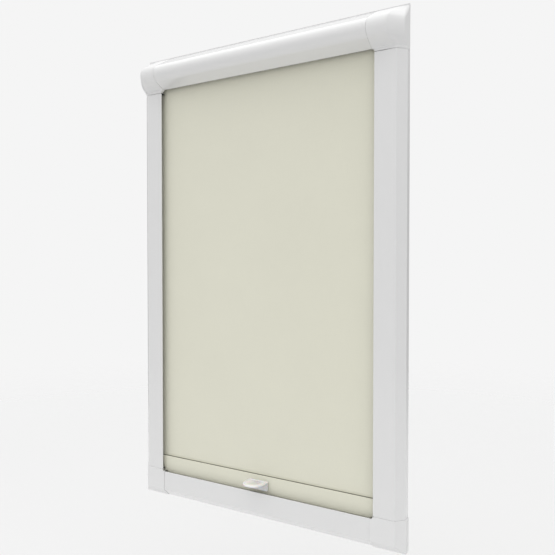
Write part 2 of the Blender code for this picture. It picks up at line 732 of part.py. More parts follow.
def cap_screws(side, word):
    """Two screws through the bracket into the cap's posts, and two through the cap's tongue into the back."""
    for i, (y, height) in enumerate(bracket_screw_spots()):
        head = side * (BRACKET_X - CLEARANCE - SCREW_HEAD_HEIGHT)
        screw(f"bracket_screw_{word}_{i + 1}", x_axis_place(y, height), head, side * SCREW_X_TIP, STEEL)
    for i, (x, height) in enumerate(cap_screw_spots(side)):
        head = -BACK_WALL - 2 * CLEARANCE - CAP_WALL - SCREW_HEAD_HEIGHT
        screw(f"cap_screw_{word}_{i + 1}", y_axis_place(x, height), head, -CLEARANCE, STEEL)


def roller():
    """The tube, the fabric wound on it and what turns with it, with their origin on the roller's axis."""
    place = x_axis_place(ROLLER_Y, ROLLER_HEIGHT)
    axis = (0.0, ROLLER_Y, up(ROLLER_HEIGHT))
    tube_inner = TUBE_RADIUS - TUBE_WALL
    ends = (-TUBE_HALF, TUBE_HALF)
    sleeve("roller_tube", ends, TUBE_RADIUS, tube_inner, place, ALUMINIUM, axis)
    sleeve("fabric_roll", ends, ROLL_RADIUS, ROLL_INNER, place, FABRIC, axis)
    for side, name, bore in ((-1, "drive_plug", SHAFT_RADIUS), (1, "idle_plug", PIN_RADIUS)):
        face = TUBE_HALF + CLEARANCE
        profile = [
            (side * (TUBE_HALF - PLUG_LENGTH), tube_inner - CLEARANCE),
            (side * face, tube_inner - CLEARANCE),
            (side * face, TUBE_RADIUS),
            (side * (face + PLUG_FLANGE), TUBE_RADIUS),
            (side * (face + PLUG_FLANGE), bore + CLEARANCE),
            (side * (TUBE_HALF - PLUG_LENGTH), bore + CLEARANCE),
        ]
        turned_ring(name, profile, place, NYLON, axis)
    pin_start = TUBE_HALF - PLUG_LENGTH + PIN_FROM_PLUG_END
    pin = [(pin_start, PIN_RADIUS), (BRACKET_X + BRACKET_THICKNESS, PIN_RADIUS)]
    turned("idle_pin", pin, place, STEEL, axis)


def spring_motor():
    """The fixed shaft, the torsion spring round it and the collar that anchors the spring's inner end."""
    start = -BRACKET_X - BRACKET_THICKNESS
    end = start + SHAFT_LENGTH
    centre = (ROLLER_Y, ROLLER_HEIGHT)
    along_x("spring_shaft", d_outline(SHAFT_RADIUS, centre), start, end, STEEL)
    place = x_axis_place(*centre)
    collar = (end - COLLAR_LENGTH, end - SHAFT_END_SHOWS)
    made = sleeve("spring_anchor", collar, SPRING_RADIUS + COLLAR_WALL, SHAFT_RADIUS, place, NYLON)
    opening = d_outline(SHAFT_RADIUS + CLEARANCE, centre)
    cut(made, along_x("cut_anchor", opening, collar[0] - CUT_OVER, end + CUT_OVER))
    low = -TUBE_HALF + PLUG_LENGTH + CLEARANCE + SPRING_WIRE_RADIUS
    high = collar[0] - CLEARANCE - SPRING_WIRE_RADIUS
    coil("torsion_spring", place, low, high)


def coil(name, place, low, high, steps=10, sides=6):
    """A helix of round wire: each ring of points lies across the wire, which runs round the place's axis."""
    count = SPRING_TURNS * steps + 1
    lean = math.atan2(high - low, 2 * math.pi * SPRING_RADIUS * SPRING_TURNS)
    points = []
    for i in range(count):
        turn = 2 * math.pi * i / steps
        along = low + (high - low) * i / (count - 1)
        for j in range(sides):
            a = 2 * math.pi * j / sides
            radius = SPRING_RADIUS + SPRING_WIRE_RADIUS * math.cos(a)
            lift = SPRING_WIRE_RADIUS * math.sin(a) * math.cos(lean)
            points.append(place(along + lift, radius, turn))
    faces = [
        (i * sides + j, i * sides + (j + 1) % sides, (i + 1) * sides + (j + 1) % sides, (i + 1) * sides + j)
        for i in range(count - 1)
        for j in range(sides)
    ]
    last = (count - 1) * sides
    faces += [tuple(range(sides)), tuple(range(last, last + sides))]
    return smooth(solid(name, points, faces, SPRING_STEEL))


def pile_strips():
    """Pile seals: two in each side channel, one behind the cover's lip and one in the bottom channel."""
    near = PILE_FROM_MOUTH + CLEARANCE
    far = PILE_FROM_MOUTH + PILE_WIDTH - CLEARANCE
    front = (-CHANNEL_DEPTH + CHANNEL_WALL + CLEARANCE, BAR_FRONT - CLEARANCE)
    rear = (BAR_BACK + CLEARANCE, -CHANNEL_WALL - CLEARANCE)
    heights = (CORNER_TOP + CLEARANCE, CAP_BOTTOM - CLEARANCE)
    for side, word in ((-1, "left"), (1, "right")):
        across = (side * (WINDOW_HALF + near), side * (WINDOW_HALF + far))
        box(f"pile_front_{word}", across, front, heights, PILE)
        box(f"pile_rear_{word}", across, rear, heights, PILE)
    half = SEAM_HALF - 2 * CLEARANCE
    lip = -CHANNEL_DEPTH + COVER_LIP_SETBACK + LIP_RETURN + CLEARANCE
    lip_heights = (LIP_HEIGHT + CLEARANCE, LIP_HEIGHT + PILE_WIDTH - CLEARANCE)
    box("pile_cassette", (-half, half), (lip, BAR_FRONT - CLEARANCE), lip_heights, PILE)
    bottom = (CHANNEL_WIDTH - far, CHANNEL_WIDTH - near)
    box("pile_bottom", (-half, half), (front[0], -FABRIC_DEPTH), bottom, PILE)


def fabric_sheet():
    """The hanging cloth, from its spline in the bar up to where it leaves the roller."""
    low = BAR_TOP - SPLINE_DROP + SPLINE_RADIUS + CLEARANCE
    ys = (SHEET_FRONT, SHEET_FRONT + FABRIC_THICKNESS)
    box("fabric_sheet", (-FABRIC_HALF, FABRIC_HALF), ys, (low, ROLLER_HEIGHT), FABRIC)


def pull_bar():
    """The extruded bar with its keyhole slot, the cloth sleeve round it and the spline in the slot."""
    skin = SLEEVE_THICKNESS + CLEARANCE
    front, back = BAR_FRONT + skin, BAR_BACK - skin
    low, high = BAR_ABOVE_SILL + skin, BAR_TOP - skin
    middle, mouth = -FABRIC_DEPTH, BAR_SLOT / 2
    seat = SPLINE_RADIUS + 2 * CLEARANCE
    seat_top, seat_low = BAR_TOP - SPLINE_DROP + seat, BAR_TOP - SPLINE_DROP - seat
    outline = [
        (front, low),
        (back, low),
        (back, high),
        (middle + mouth, high),
        (middle + mouth, seat_top),
        (middle + seat, seat_top),
        (middle + seat, seat_low),
        (middle - seat, seat_low),
        (middle - seat, seat_top),
        (middle - mouth, seat_top),
        (middle - mouth, high),
        (front, high),
    ]
    made = along_x("bar_core", outline, -SLEEVE_HALF, SLEEVE_HALF, ALUMINIUM)
    over = SLEEVE_HALF + CUT_OVER
    cut(made, box("cut_bar", (-over, over), *bar_hollow(0.0)))
    outer_low, outer_high = BAR_ABOVE_SILL, BAR_TOP
    inner_low, inner_high = outer_low + SLEEVE_THICKNESS, outer_high - SLEEVE_THICKNESS
    inner_front, inner_back = BAR_FRONT + SLEEVE_THICKNESS, BAR_BACK - SLEEVE_THICKNESS
    wrap = [
        (middle - mouth, outer_high),
        (BAR_FRONT, outer_high),
        (BAR_FRONT, outer_low),
        (BAR_BACK, outer_low),
        (BAR_BACK, outer_high),
        (middle + mouth, outer_high),
        (middle + mouth, inner_high),
        (inner_back, inner_high),
        (inner_back, inner_low),
        (inner_front, inner_low),
        (inner_front, inner_high),
        (middle - mouth, inner_high),
    ]
    cloth = along_x("bar_sleeve", wrap, -SLEEVE_HALF, SLEEVE_HALF, FABRIC)
    spline = [(-SLEEVE_HALF, SPLINE_RADIUS), (SLEEVE_HALF, SPLINE_RADIUS)]
    spline_place = x_axis_place(middle, BAR_TOP - SPLINE_DROP)
    turned("bar_spline", spline, spline_place, NYLON, sides=SMALL_SIDES)
    for i, (x, height) in enumerate(handle_screw_spots()):
        place = y_axis_place(x, height)
        through = (BAR_FRONT - CUT_OVER, BAR_BACK + CUT_OVER)
        cut(made, screw_hole(f"cut_core_{i}", place, *through))
        cut(cloth, screw_hole(f"cut_cloth_{i}", place, *through))


def bar_hollow(inset):
    """The bar's lower chamber as its depths and its heights, shrunk by inset for the glide's tongue."""
    skin = SLEEVE_THICKNESS + CLEARANCE + BAR_WALL + inset
    seat_low = BAR_TOP - SPLINE_DROP - SPLINE_RADIUS - 2 * CLEARANCE
    heights = (BAR_ABOVE_SILL + skin, seat_low - BAR_WALL - inset)
    return (BAR_FRONT + skin, BAR_BACK - skin), heights


def bar_end(side, word):
    """The glide in one end of the bar: a tongue, a flange and a shoe that runs in the channel's slot."""
    flange = SLEEVE_HALF + CLEARANCE
    shoe = flange + SHOE_FLANGE
    end = shoe + SHOE_THICKNESS
    shoe_ys = (-CHANNEL_DEPTH + CAP_WALL + SHOE_PLAY, -CHANNEL_WALL - SHOE_PLAY)
    skin = SLEEVE_THICKNESS + CLEARANCE
    flange_heights = (BAR_ABOVE_SILL + skin, BAR_TOP - skin)
    shoe_heights = (SHOE_BOTTOM, SHOE_BOTTOM + SHOE_HEIGHT)
    flange_xs = (side * flange, side * (shoe + OVERLAP))
    made = box(f"bar_end_{word}", flange_xs, (BAR_FRONT, BAR_BACK), flange_heights, NYLON)
    tongue_xs = (side * (SLEEVE_HALF - PLUG_LENGTH), side * (flange + 2 * OVERLAP))
    tongue = box(f"tongue_bar_{word}", tongue_xs, *bar_hollow(CLEARANCE))
    runner = box(f"shoe_{word}", (side * shoe, side * end), shoe_ys, shoe_heights)
    join(made, tongue, runner)
    pad_near = end + CLEARANCE
    pad_far = WINDOW_HALF + SLOT_DEPTH - CLEARANCE
    middle = SHOE_BOTTOM + SHOE_HEIGHT / 2
    half = PAD_SIZE / 2
    pad_ys = (-FABRIC_DEPTH - half, -FABRIC_DEPTH + half)
    pad_heights = (middle - half, middle + half)
    box(f"friction_pad_{word}", (side * pad_near, side * pad_far), pad_ys, pad_heights, RUBBER)


def handle_screw_spots():
    """Where the handle is screwed to the bar, as (x, height)."""
    height = HANDLE_ABOVE_SILL + HANDLE_HEIGHT / 2 - SCREW_HEAD_RADIUS / 2
    return [(-HANDLE_WIDTH / 4, height), (HANDLE_WIDTH / 4, height)]


def pull_handle():
    """The pull: a plate on the bar's front with a half-round shelf, and the two screws that hold it."""
    back = BAR_FRONT - CLEARANCE
    front = back - HANDLE_PLATE
    low, high = HANDLE_ABOVE_SILL, HANDLE_ABOVE_SILL + HANDLE_HEIGHT
    half = HANDLE_WIDTH / 2
    made = box("pull_handle", (-half, half), (front, back), (low, high), HANDLE_PLASTIC)
    turns = np.linspace(math.pi, 2 * math.pi, 25)
    outline = [(half * math.cos(t), front + HANDLE_REACH * math.sin(t)) for t in turns]
    outline += [(half, front + HANDLE_PLATE / 2), (-half, front + HANDLE_PLATE / 2)]
    shelf = along_z("shelf", outline, high - HANDLE_SHELF, high)
    join(made, shelf)
    for i, (x, height) in enumerate(handle_screw_spots()):
        place = y_axis_place(x, height)
        cut(made, screw_hole(f"cut_handle_{i}", place, front + HANDLE_PLATE / 4, back + CUT_OVER))
        head = BAR_BACK + CLEARANCE + SCREW_HEAD_HEIGHT
        screw(f"handle_screw_{i + 1}", place, head, front + HANDLE_PLATE / 4 + CLEARANCE, STEEL)


def main():
    for obj in list(bpy.data.objects):
        bpy.data.objects.remove(obj)
    cassette_back()
    cassette_cover()
    bottom_channel()
    for side, word in ((-1, "left"), (1, "right")):
        side_channel(side, word)
        bottom_corner(side, word)
        end_cap(side, word)
        roller_bracket(side, word)
        cap_screws(side, word)
        bar_end(side, word)
    roller()
    spring_motor()
    pile_strips()
    fabric_sheet()
    pull_bar()
    pull_handle()


main()
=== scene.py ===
"""Framed roller blind: the visible shapes and finishes, built round the packed frame.

Metres. X runs across the window, -Y points into the room and +Z is up, with the origin at the middle of
the cassette's wall face. Positions come from the boxes of the frame's nodes, and every finished piece has
its place in its mesh.
"""

import json
import math

import bmesh
import bpy
import numpy as np
from bpy.props import FloatProperty, FloatVectorProperty, PointerProperty
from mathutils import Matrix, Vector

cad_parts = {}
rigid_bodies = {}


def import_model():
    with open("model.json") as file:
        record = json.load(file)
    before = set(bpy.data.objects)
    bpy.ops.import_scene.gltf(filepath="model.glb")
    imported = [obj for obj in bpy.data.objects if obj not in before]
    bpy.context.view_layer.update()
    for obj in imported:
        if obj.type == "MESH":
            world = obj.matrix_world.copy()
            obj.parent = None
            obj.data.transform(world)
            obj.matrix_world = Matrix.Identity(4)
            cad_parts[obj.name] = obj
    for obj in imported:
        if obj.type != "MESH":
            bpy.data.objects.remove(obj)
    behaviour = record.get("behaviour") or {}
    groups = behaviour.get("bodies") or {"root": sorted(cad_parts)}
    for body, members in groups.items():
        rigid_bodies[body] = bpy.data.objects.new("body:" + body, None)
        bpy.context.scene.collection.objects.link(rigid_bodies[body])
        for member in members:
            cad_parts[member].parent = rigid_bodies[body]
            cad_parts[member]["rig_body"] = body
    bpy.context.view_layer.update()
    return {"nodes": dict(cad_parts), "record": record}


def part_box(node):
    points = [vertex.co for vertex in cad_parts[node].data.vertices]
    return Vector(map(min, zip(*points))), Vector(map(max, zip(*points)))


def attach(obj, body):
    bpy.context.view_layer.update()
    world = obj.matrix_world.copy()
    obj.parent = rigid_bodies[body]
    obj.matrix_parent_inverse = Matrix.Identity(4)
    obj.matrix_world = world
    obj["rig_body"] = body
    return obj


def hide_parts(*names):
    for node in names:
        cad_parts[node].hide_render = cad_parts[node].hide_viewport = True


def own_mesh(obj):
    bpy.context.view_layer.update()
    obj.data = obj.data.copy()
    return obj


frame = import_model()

bl_info = {
    "name": "Framed Roller Blind",
    "version": (1, 0, 0),
    "blender": (4, 5, 0),
    "location": "View3D > Sidebar > Blind",
    "description": "Builds the visible pieces of a framed roller blind round its packed frame",
    "category": "Object",
}


def span(node):
    """The lowest and highest corner of a frame node."""
    low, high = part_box(node)
    return np.array(low), np.array(high)


# Places read from the frame
RAIL_LOW, RAIL_HIGH = span("side_channel_right")
SILL_LOW, SILL_HIGH = span("bottom_channel")
COVER_LOW, COVER_HIGH = span("cassette_cover")
BACK_LOW, BACK_HIGH = span("cassette_back")
CORNER_FRONT = span("bottom_corner_right")[0][1]
NOSE_FRONT = span("end_cap_right")[0][1]
CLOTH_LOW, CLOTH_HIGH = span("fabric_sheet")
ROLL_LOW, ROLL_HIGH = span("fabric_roll")
TUBE_LOW, TUBE_HIGH = span("roller_tube")
BAR_LOW, BAR_HIGH = span("bar_sleeve")
PULL_LOW, PULL_HIGH = span("pull_handle")
BRACKET_FACE = span("roller_bracket_right")[1][0]

GAP = 0.0003  # between pieces that touch
WINDOW_HALF = RAIL_LOW[0]
HALF_WIDTH = RAIL_HIGH[0]
RAIL_FRONT = RAIL_LOW[1]
RAIL_WIDTH = HALF_WIDTH - WINDOW_HALF
SILL_EDGE = SILL_HIGH[2]
SEAM_HALF = SILL_HIGH[0] + GAP / 2
WINDOW_FILLET = WINDOW_HALF - SEAM_HALF
CORNER_TOP = RAIL_LOW[2] - GAP / 2
CAP_BOTTOM = RAIL_HIGH[2] + GAP / 2
LIP_Z = COVER_LOW[2]
TOP_Z = BACK_HIGH[2]
RIM_Z = COVER_HIGH[2]
ROLL_Y = (ROLL_LOW[1] + ROLL_HIGH[1]) / 2
ROLL_Z = (ROLL_LOW[2] + ROLL_HIGH[2]) / 2

# Sections of the extrusions and mouldings
WALL = 0.0015
CHAMFER = 0.013
SLOT_DEPTH = 0.026
PILE_FROM_MOUTH = 0.003
PILE_WIDTH = 0.005
RIB = 0.0008
MOULDED_WALL = 0.002
SPIGOT_LENGTH = 0.030
NOSE_RADIUS = 0.0175
NOSE_ABOVE_LIP = 0.0242
COVER_WALL = 0.0015
LIP_SETBACK = 0.001
LIP_RETURN = 0.0012
RIM_DEPTH = 0.0032
BACK_WALL = 0.0018
CAP_SLANT_WIDTH = 0.0205
CAP_SIDE_REACH = 0.027
CLOTH_THICKNESS = CLOTH_HIGH[1] - CLOTH_LOW[1]
BAR_SLOT = 0.0016
SHELF_THICKNESS = 0.0026
CAP_RETURN = 0.0055  # how far the caps turn in behind the window's edge
CORNER_RETURN = 0.0022  # and the corners
SEAM_CLOSED = 0.00026  # how much of the seams' gap the corners close
PLATE_THICKNESS = 0.0045
PLATE_TOP_RADIUS = 0.0012
PLATE_EDGE = 0.0010
SHELF_SUNK = 0.0006  # how far the pull's shelf goes into its plate
FOOT_DROP = 0.0006  # how far the cloth sags under the bar
BAR_BOW_RADIUS = 0.09  # where the bar's front begins to draw back
CREASE_SEAM = 0.001  # the pocket's open seam below the crease
POCKET_HEM = 0.003  # cloth folded away before the bar's pocket begins
WOUND_START = 0.01  # length of cloth before the turn on the tube
CREASE_SHADE_TONE = 0.30  # painted shade: the cloth's tone inside the bar's crease
CREASE_SHADE_FADE = 0.0006  # how far it takes to fade
CREASE_SHADE_LENGTH = 0.0049  # and where along the cloth it ends

# Small inner shapes
FIXING_HOLE = 0.0025  # radii of the clearance holes
SCREW_HOLE = 0.0017
CUT_PAST = 0.01  # how far a cutter goes beyond what it cuts
CHAMBER_RADIUS = 0.0005
SPIGOT_EDGE = 0.0008
BLEND_IN = 0.001  # how far moulded pieces of one part run into each other
TONGUE_LOW, TONGUE_HIGH = 0.013, 0.045  # the cap's tongue, above the cover's lip
TONGUE_PAST_SCREW = 0.006
POST_RADIUS = 0.0035
FIXING_PLACE = 0.65  # where the slot is drilled, as a share of its depth
SPIGOT_ROOT = 0.020
STOP_WIDTH = 0.003
STOP_FOOT = 0.012
SPLINE_SEAT = 0.0019
BAR_WALL = 0.0012
SCREW_HEAD = 0.0016  # height of a screw's head
SCREW_PITCH = 0.0009
THREAD_DEPTH = 0.24  # as a share of the shank's radius
CROSS_REACH = 0.62  # the cross recess, as shares of the head's radius
CROSS_HALF_WIDTH = 0.18
TUBE_WALL = 0.001
KEYWAY_DEPTH = 0.0008
KEYWAY_ANGLE = 0.09
SPRING_WIRE = 0.0006
SPRING_TURNS = 22

# Pile: shares of a seal's width and height, and of a tuft's
STRIP_THICKNESS = 0.0006
STRIP_EDGE = 0.0002
PILE_SPREAD = 0.86  # width of the seal that carries tufts
PILE_END = 0.0004
TUFT_SPACING = 0.0011
TUFT_ROWS = 3
TUFT_SHORTEST = 0.86
TUFT_LEAN = 0.09
TUFT_THICKNESS = 0.55
TUFT_LEVELS = ((0.0, 1.0), (0.6, 0.85), (1.0, 0.25))  # height and thickness of its three rings

# Stage
FLOOR_RADIUS = 6.0
FLOOR_FADE = 0.6, 4.0  # where the floor begins and ends to fade out
LAMP_PLACE, LAMP_SIZE = (0.0, 0.2, 1.2), (2.4, 1.6)
CAMERA_PLACE = (0.4990, -0.8373, -0.3568)
CAMERA_DOWN, CAMERA_LEFT = 1.17, 29.44  # in degrees
CAMERA_LENS = 36.8


# ---------------------------------------------------------------- forms: points and faces as arrays


def grid_faces(rows, columns, wrap_rows=False, wrap_columns=False):
    """The four-sided faces of a grid of points kept row by row; a wrapped direction joins last to first."""
    r = np.arange(rows if wrap_rows else rows - 1)
    c = np.arange(columns if wrap_columns else columns - 1)
    r, c = np.meshgrid(r, c, indexing="ij")
    r_next, c_next = (r + 1) % rows, (c + 1) % columns
    corners = [r * columns + c, r * columns + c_next, r_next * columns + c_next, r_next * columns + c]
    return np.stack(corners, -1).reshape(-1, 4)


def end_faces(rings, sides):
    """The two flat faces that close a stack of rings."""
    last = (rings - 1) * sides
    return [list(range(sides)), list(range(last, last + sides))]


def arcs_between(centre, start, end, half, steps):
    """Arcs about each centre from start to end in even turns; half is half the corner's angle.

    A point at share t is (sin((1 - t) turn) start + sin(t turn) end) / sin(turn), seen from the centre.
    """
    start, end = (start - centre)[:, None], (end - centre)[:, None]
    turn = np.maximum(math.pi - 2 * half, 1e-6)[:, None]
    t = np.linspace(0, 1, steps)[None, :, None]
    return centre[:, None] + (np.sin((1 - t) * turn) * start + np.sin(t * turn) * end) / np.sin(turn)


def rounded(corners, steps=6):
    """A closed outline of (a, b, radius) corners, each corner an arc that touches both of its sides.

    The arc's centre lies on the corner's bisector at radius / sin(half angle), and its points turn evenly
    from one touching point to the other.
    """
    data = np.array(corners, float)
    p, r = data[:, :2], data[:, 2]
    before, after = np.roll(p, 1, 0) - p, np.roll(p, -1, 0) - p
    before /= np.linalg.norm(before, axis=1, keepdims=True)
    after /= np.linalg.norm(after, axis=1, keepdims=True)
    half = np.arccos(np.clip((before * after).sum(1), -1, 1)) / 2
    reach = (r / np.tan(half))[:, None]
    middle = (before + after) / np.maximum(np.linalg.norm(before + after, axis=1, keepdims=True), 1e-12)
    centre = p + middle * (r / np.sin(half))[:, None]
    arcs = arcs_between(centre, p + before * reach, p + after * reach, half[:, None], steps)
    keep = np.ones(arcs.shape[:2], bool)
    keep[r == 0, 1:] = False
    return arcs[keep]


def drawn_in(outline, amount):
    """A closed outline moved inwards: each point goes along its mitre, amount away from both sides."""
    def normals(sides):
        sides = sides / np.maximum(np.linalg.norm(sides, axis=1, keepdims=True), 1e-12)
        return np.stack([-sides[:, 1], sides[:, 0]], 1)

    after = np.roll(outline, -1, 0)
    area = (outline[:, 0] * after[:, 1] - after[:, 0] * outline[:, 1]).sum()
    n1, n2 = normals(outline - np.roll(outline, 1, 0)), normals(after - outline)
    mitre = (n1 + n2) / (1 + (n1 * n2).sum(1, keepdims=True))
    return outline + np.sign(area) * amount * mitre


def swept(outline, place, low, high, edge=0.0003):
    """A closed outline carried from low to high, drawn in along a quarter circle at both ends.

    place(a, b, t) gives the points of the outline's (a, b) at t.
    """
    turn = np.linspace(0, math.pi / 2, 4)
    inset, reach = edge * (1 - np.sin(turn)), edge * (1 - np.cos(turn))
    insets = np.concatenate([inset, inset[::-1]])
    stations = np.concatenate([low + reach, high - reach[::-1]])
    rings = [place(*drawn_in(outline, i).T, t) for i, t in zip(insets, stations)]
    count = len(outline)
    faces = grid_faces(len(rings), count, wrap_columns=True).tolist()
    return np.concatenate(rings), faces + end_faces(len(rings), count)


def turned(profile, place, sides=48, closed=False):
    """A profile of (t, radius) pairs turned about an axis; place(t, radius, angle) gives the points.

    An open profile is closed by a flat face at each end, and a closed one makes a ring.
    """
    t, r = np.array(profile, float).T
    angle = np.linspace(0, 2 * math.pi, sides, endpoint=False)
    points = place(*np.broadcast_arrays(t[:, None], r[:, None], angle[None, :]))
    faces = grid_faces(len(t), sides, wrap_rows=closed, wrap_columns=True).tolist()
    if not closed:
        faces += end_faces(len(t), sides)
    return points.reshape(-1, 3), faces


def block(low, high, edge=0.0003):
    """A box between two corners with softened edges."""
    (x0, y0, z0), (x1, y1, z1) = np.sort([low, high], 0)
    outline = rounded([(x0, y0, edge), (x1, y0, edge), (x1, y1, edge), (x0, y1, edge)], 4)
    return swept(outline, at_z, z0, z1, edge)


def combined(forms):
    """Several forms as one."""
    points, faces, start = [], [], 0
    for p, f in forms:
        points.append(p)
        faces += [[i + start for i in face] for face in f]
        start += len(p)
    return np.concatenate(points), faces


def mirrored(form, side):
    """The form on the side given by -1 or 1; a form is drawn for the right-hand side."""
    points, faces = form
    if side > 0:
        return form
    return points * (-1, 1, 1), [list(face)[::-1] for face in faces]


def at_x(y, z, x):
    """Points of a section in Y and Z at one X."""
    return np.stack([np.broadcast_to(x, y.shape), y, z], -1)


def at_z(x, y, z):
    """Points of a section in X and Y at one Z."""
    return np.stack([x, y, np.broadcast_to(z, x.shape)], -1)


def at_y(x, z, y):
    """Points of a section in X and Z at one Y."""
    return np.stack([x, np.broadcast_to(y, x.shape), z], -1)


def leg_place(side=1):
    """A place for sections of (u, y) that stand on one side, u running outwards from the window's edge."""
    return lambda u, y, z: at_z(side * (WINDOW_HALF + u), y, z)


def middle_of(node):
    """The middle of a frame node's box."""
    low, high = span(node)
    return (low + high) / 2


def round_x(y, z):
    """A place for turned forms whose axis runs along X."""
    return lambda t, r, a: np.stack([t, y + r * np.cos(a), z + r * np.sin(a)], -1)


def round_y(x, z):
    """A place for turned forms whose axis runs along Y."""
    return lambda t, r, a: np.stack([x + r * np.cos(a), t, z + r * np.sin(a)], -1)


# ---------------------------------------------------------------- objects


def put(name, form, closed=True, uv=None):
    """A mesh object of a form. A closed form's faces are turned outwards; uv is a pair for each point."""
    points, faces = form
    mesh = bpy.data.meshes.new(name)
    mesh.from_pydata(points.tolist(), [], [list(face) for face in faces])
    if uv is not None:
        corners = np.empty(len(mesh.loops), np.int32)
        mesh.loops.foreach_get("vertex_index", corners)
        layer = mesh.uv_layers.new(name="surface")
        layer.data.foreach_set("uv", np.asarray(uv, np.float32)[corners].ravel())
    if closed:
        work = bmesh.new()
        work.from_mesh(mesh)
        bmesh.ops.remove_doubles(work, verts=work.verts, dist=1e-7)
        bmesh.ops.recalc_face_normals(work, faces=work.faces)
        work.to_mesh(mesh)
        work.free()
    made = bpy.data.objects.new(name, mesh)
    bpy.context.scene.collection.objects.link(made)
    smooth(made)
    return made


def smooth(made, angle=35):
    """Smooth shading with the corners sharper than the angle kept."""
    made.data.shade_smooth()
    made.data.set_sharp_from_angle(angle=math.radians(angle))


def bake(made):
    """The object's modifiers applied to its mesh."""
    bpy.context.view_layer.update()
    evaluated = made.evaluated_get(bpy.context.evaluated_depsgraph_get())
    mesh = bpy.data.meshes.new_from_object(evaluated)
    made.modifiers.clear()
    old = made.data
    made.data = mesh
    mesh.name = made.name
    bpy.data.meshes.remove(old)


def carve(made, *forms):
    """The object with each form cut out of it."""
    cutters = [put(f"cutter_{i}", form) for i, form in enumerate(forms)]
    for cutter in cutters:
        step = made.modifiers.new("cut", "BOOLEAN")
        step.operation = "DIFFERENCE"
        step.solver = "EXACT"
        step.object = cutter
    bake(made)
    for cutter in cutters:
        bpy.data.objects.remove(cutter)
    smooth(made)


def wall(made, thickness, offset=-1.0):
    """The surface given a thickness, inwards by default."""
    step = made.modifiers.new("wall", "SOLIDIFY")
    step.thickness = thickness
    step.offset = offset
    step.use_even_offset = True


def soften(made, width=0.0003, segments=2, angle=50):
    """Sharp edges rounded."""
    step = made.modifiers.new("edges", "BEVEL")
    step.width = width
    step.segments = segments
    step.limit_method = "ANGLE"
    step.angle_limit = math.radians(angle)
    step.use_clamp_overlap = True


def even_shading(made):
    """Normals weighted by face area, so that flat faces stay flat up to their rounded edges."""
    step = made.modifiers.new("shading", "WEIGHTED_NORMAL")
    step.keep_sharp = True
    step.weight = 100


def fit(made, body, slot, node):
    """The piece finished: the body it moves with, its slot's finish and the frame node it stands for."""
    made.data.materials.clear()
    made.data.materials.append(look(slot))
    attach(made, body)
    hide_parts(node)


SIDES = ((-1, "left"), (1, "right"))


# ---------------------------------------------------------------- finishes


def group(name, inputs, outputs):
    """An empty shader node group with named sockets: (tree, group input, group output)."""
    tree = bpy.data.node_groups.new(name, "ShaderNodeTree")
    for label, kind, value in inputs:
        socket = tree.interface.new_socket(label, in_out="INPUT", socket_type=f"NodeSocket{kind}")
        if value is not None:
            socket.default_value = value
    for label, kind in outputs:
        tree.interface.new_socket(label, in_out="OUTPUT", socket_type=f"NodeSocket{kind}")
    return tree, tree.nodes.new("NodeGroupInput").outputs, tree.nodes.new("NodeGroupOutput").inputs


def add(tree, kind, sockets=None, **settings):
    """A node with its settings; sockets gives each input's value or the output that feeds it."""
    made = tree.nodes.new(f"ShaderNode{kind}")
    for key, value in settings.items():
        setattr(made, key, value)
    for key, value in (sockets or {}).items():
        if isinstance(value, bpy.types.NodeSocket):
            tree.links.new(value, made.inputs[key])
        else:
            made.inputs[key].default_value = value
    return made


def maths(tree, operation, *values):
    """The output of a Math node."""
    return add(tree, "Math", dict(enumerate(values)), operation=operation).outputs[0]


def shade(tree, colour, factor):
    """A colour multiplied by a grey factor."""
    grey = add(tree, "CombineColor", {0: factor, 1: factor, 2: factor})
    made = add(tree, "Mix", data_type="RGBA", blend_type="MULTIPLY")
    made.inputs[0].default_value = 1.0
    tree.links.new(colour, made.inputs[6])
    tree.links.new(grey.outputs[0], made.inputs[7])
    return made.outputs[2]


def ranged(tree, value, low, high):
    """A 0 to 1 value spread between two others."""
    return add(tree, "MapRange", {"Value": value, "To Min": low, "To Max": high}).outputs[0]


def noise(tree, vector, scale, detail=2.0, roughness=0.5):
    """The value of a Noise Texture."""
    values = {"Vector": vector, "Scale": scale, "Detail": detail, "Roughness": roughness}
    return add(tree, "TexNoise", values).outputs[0]


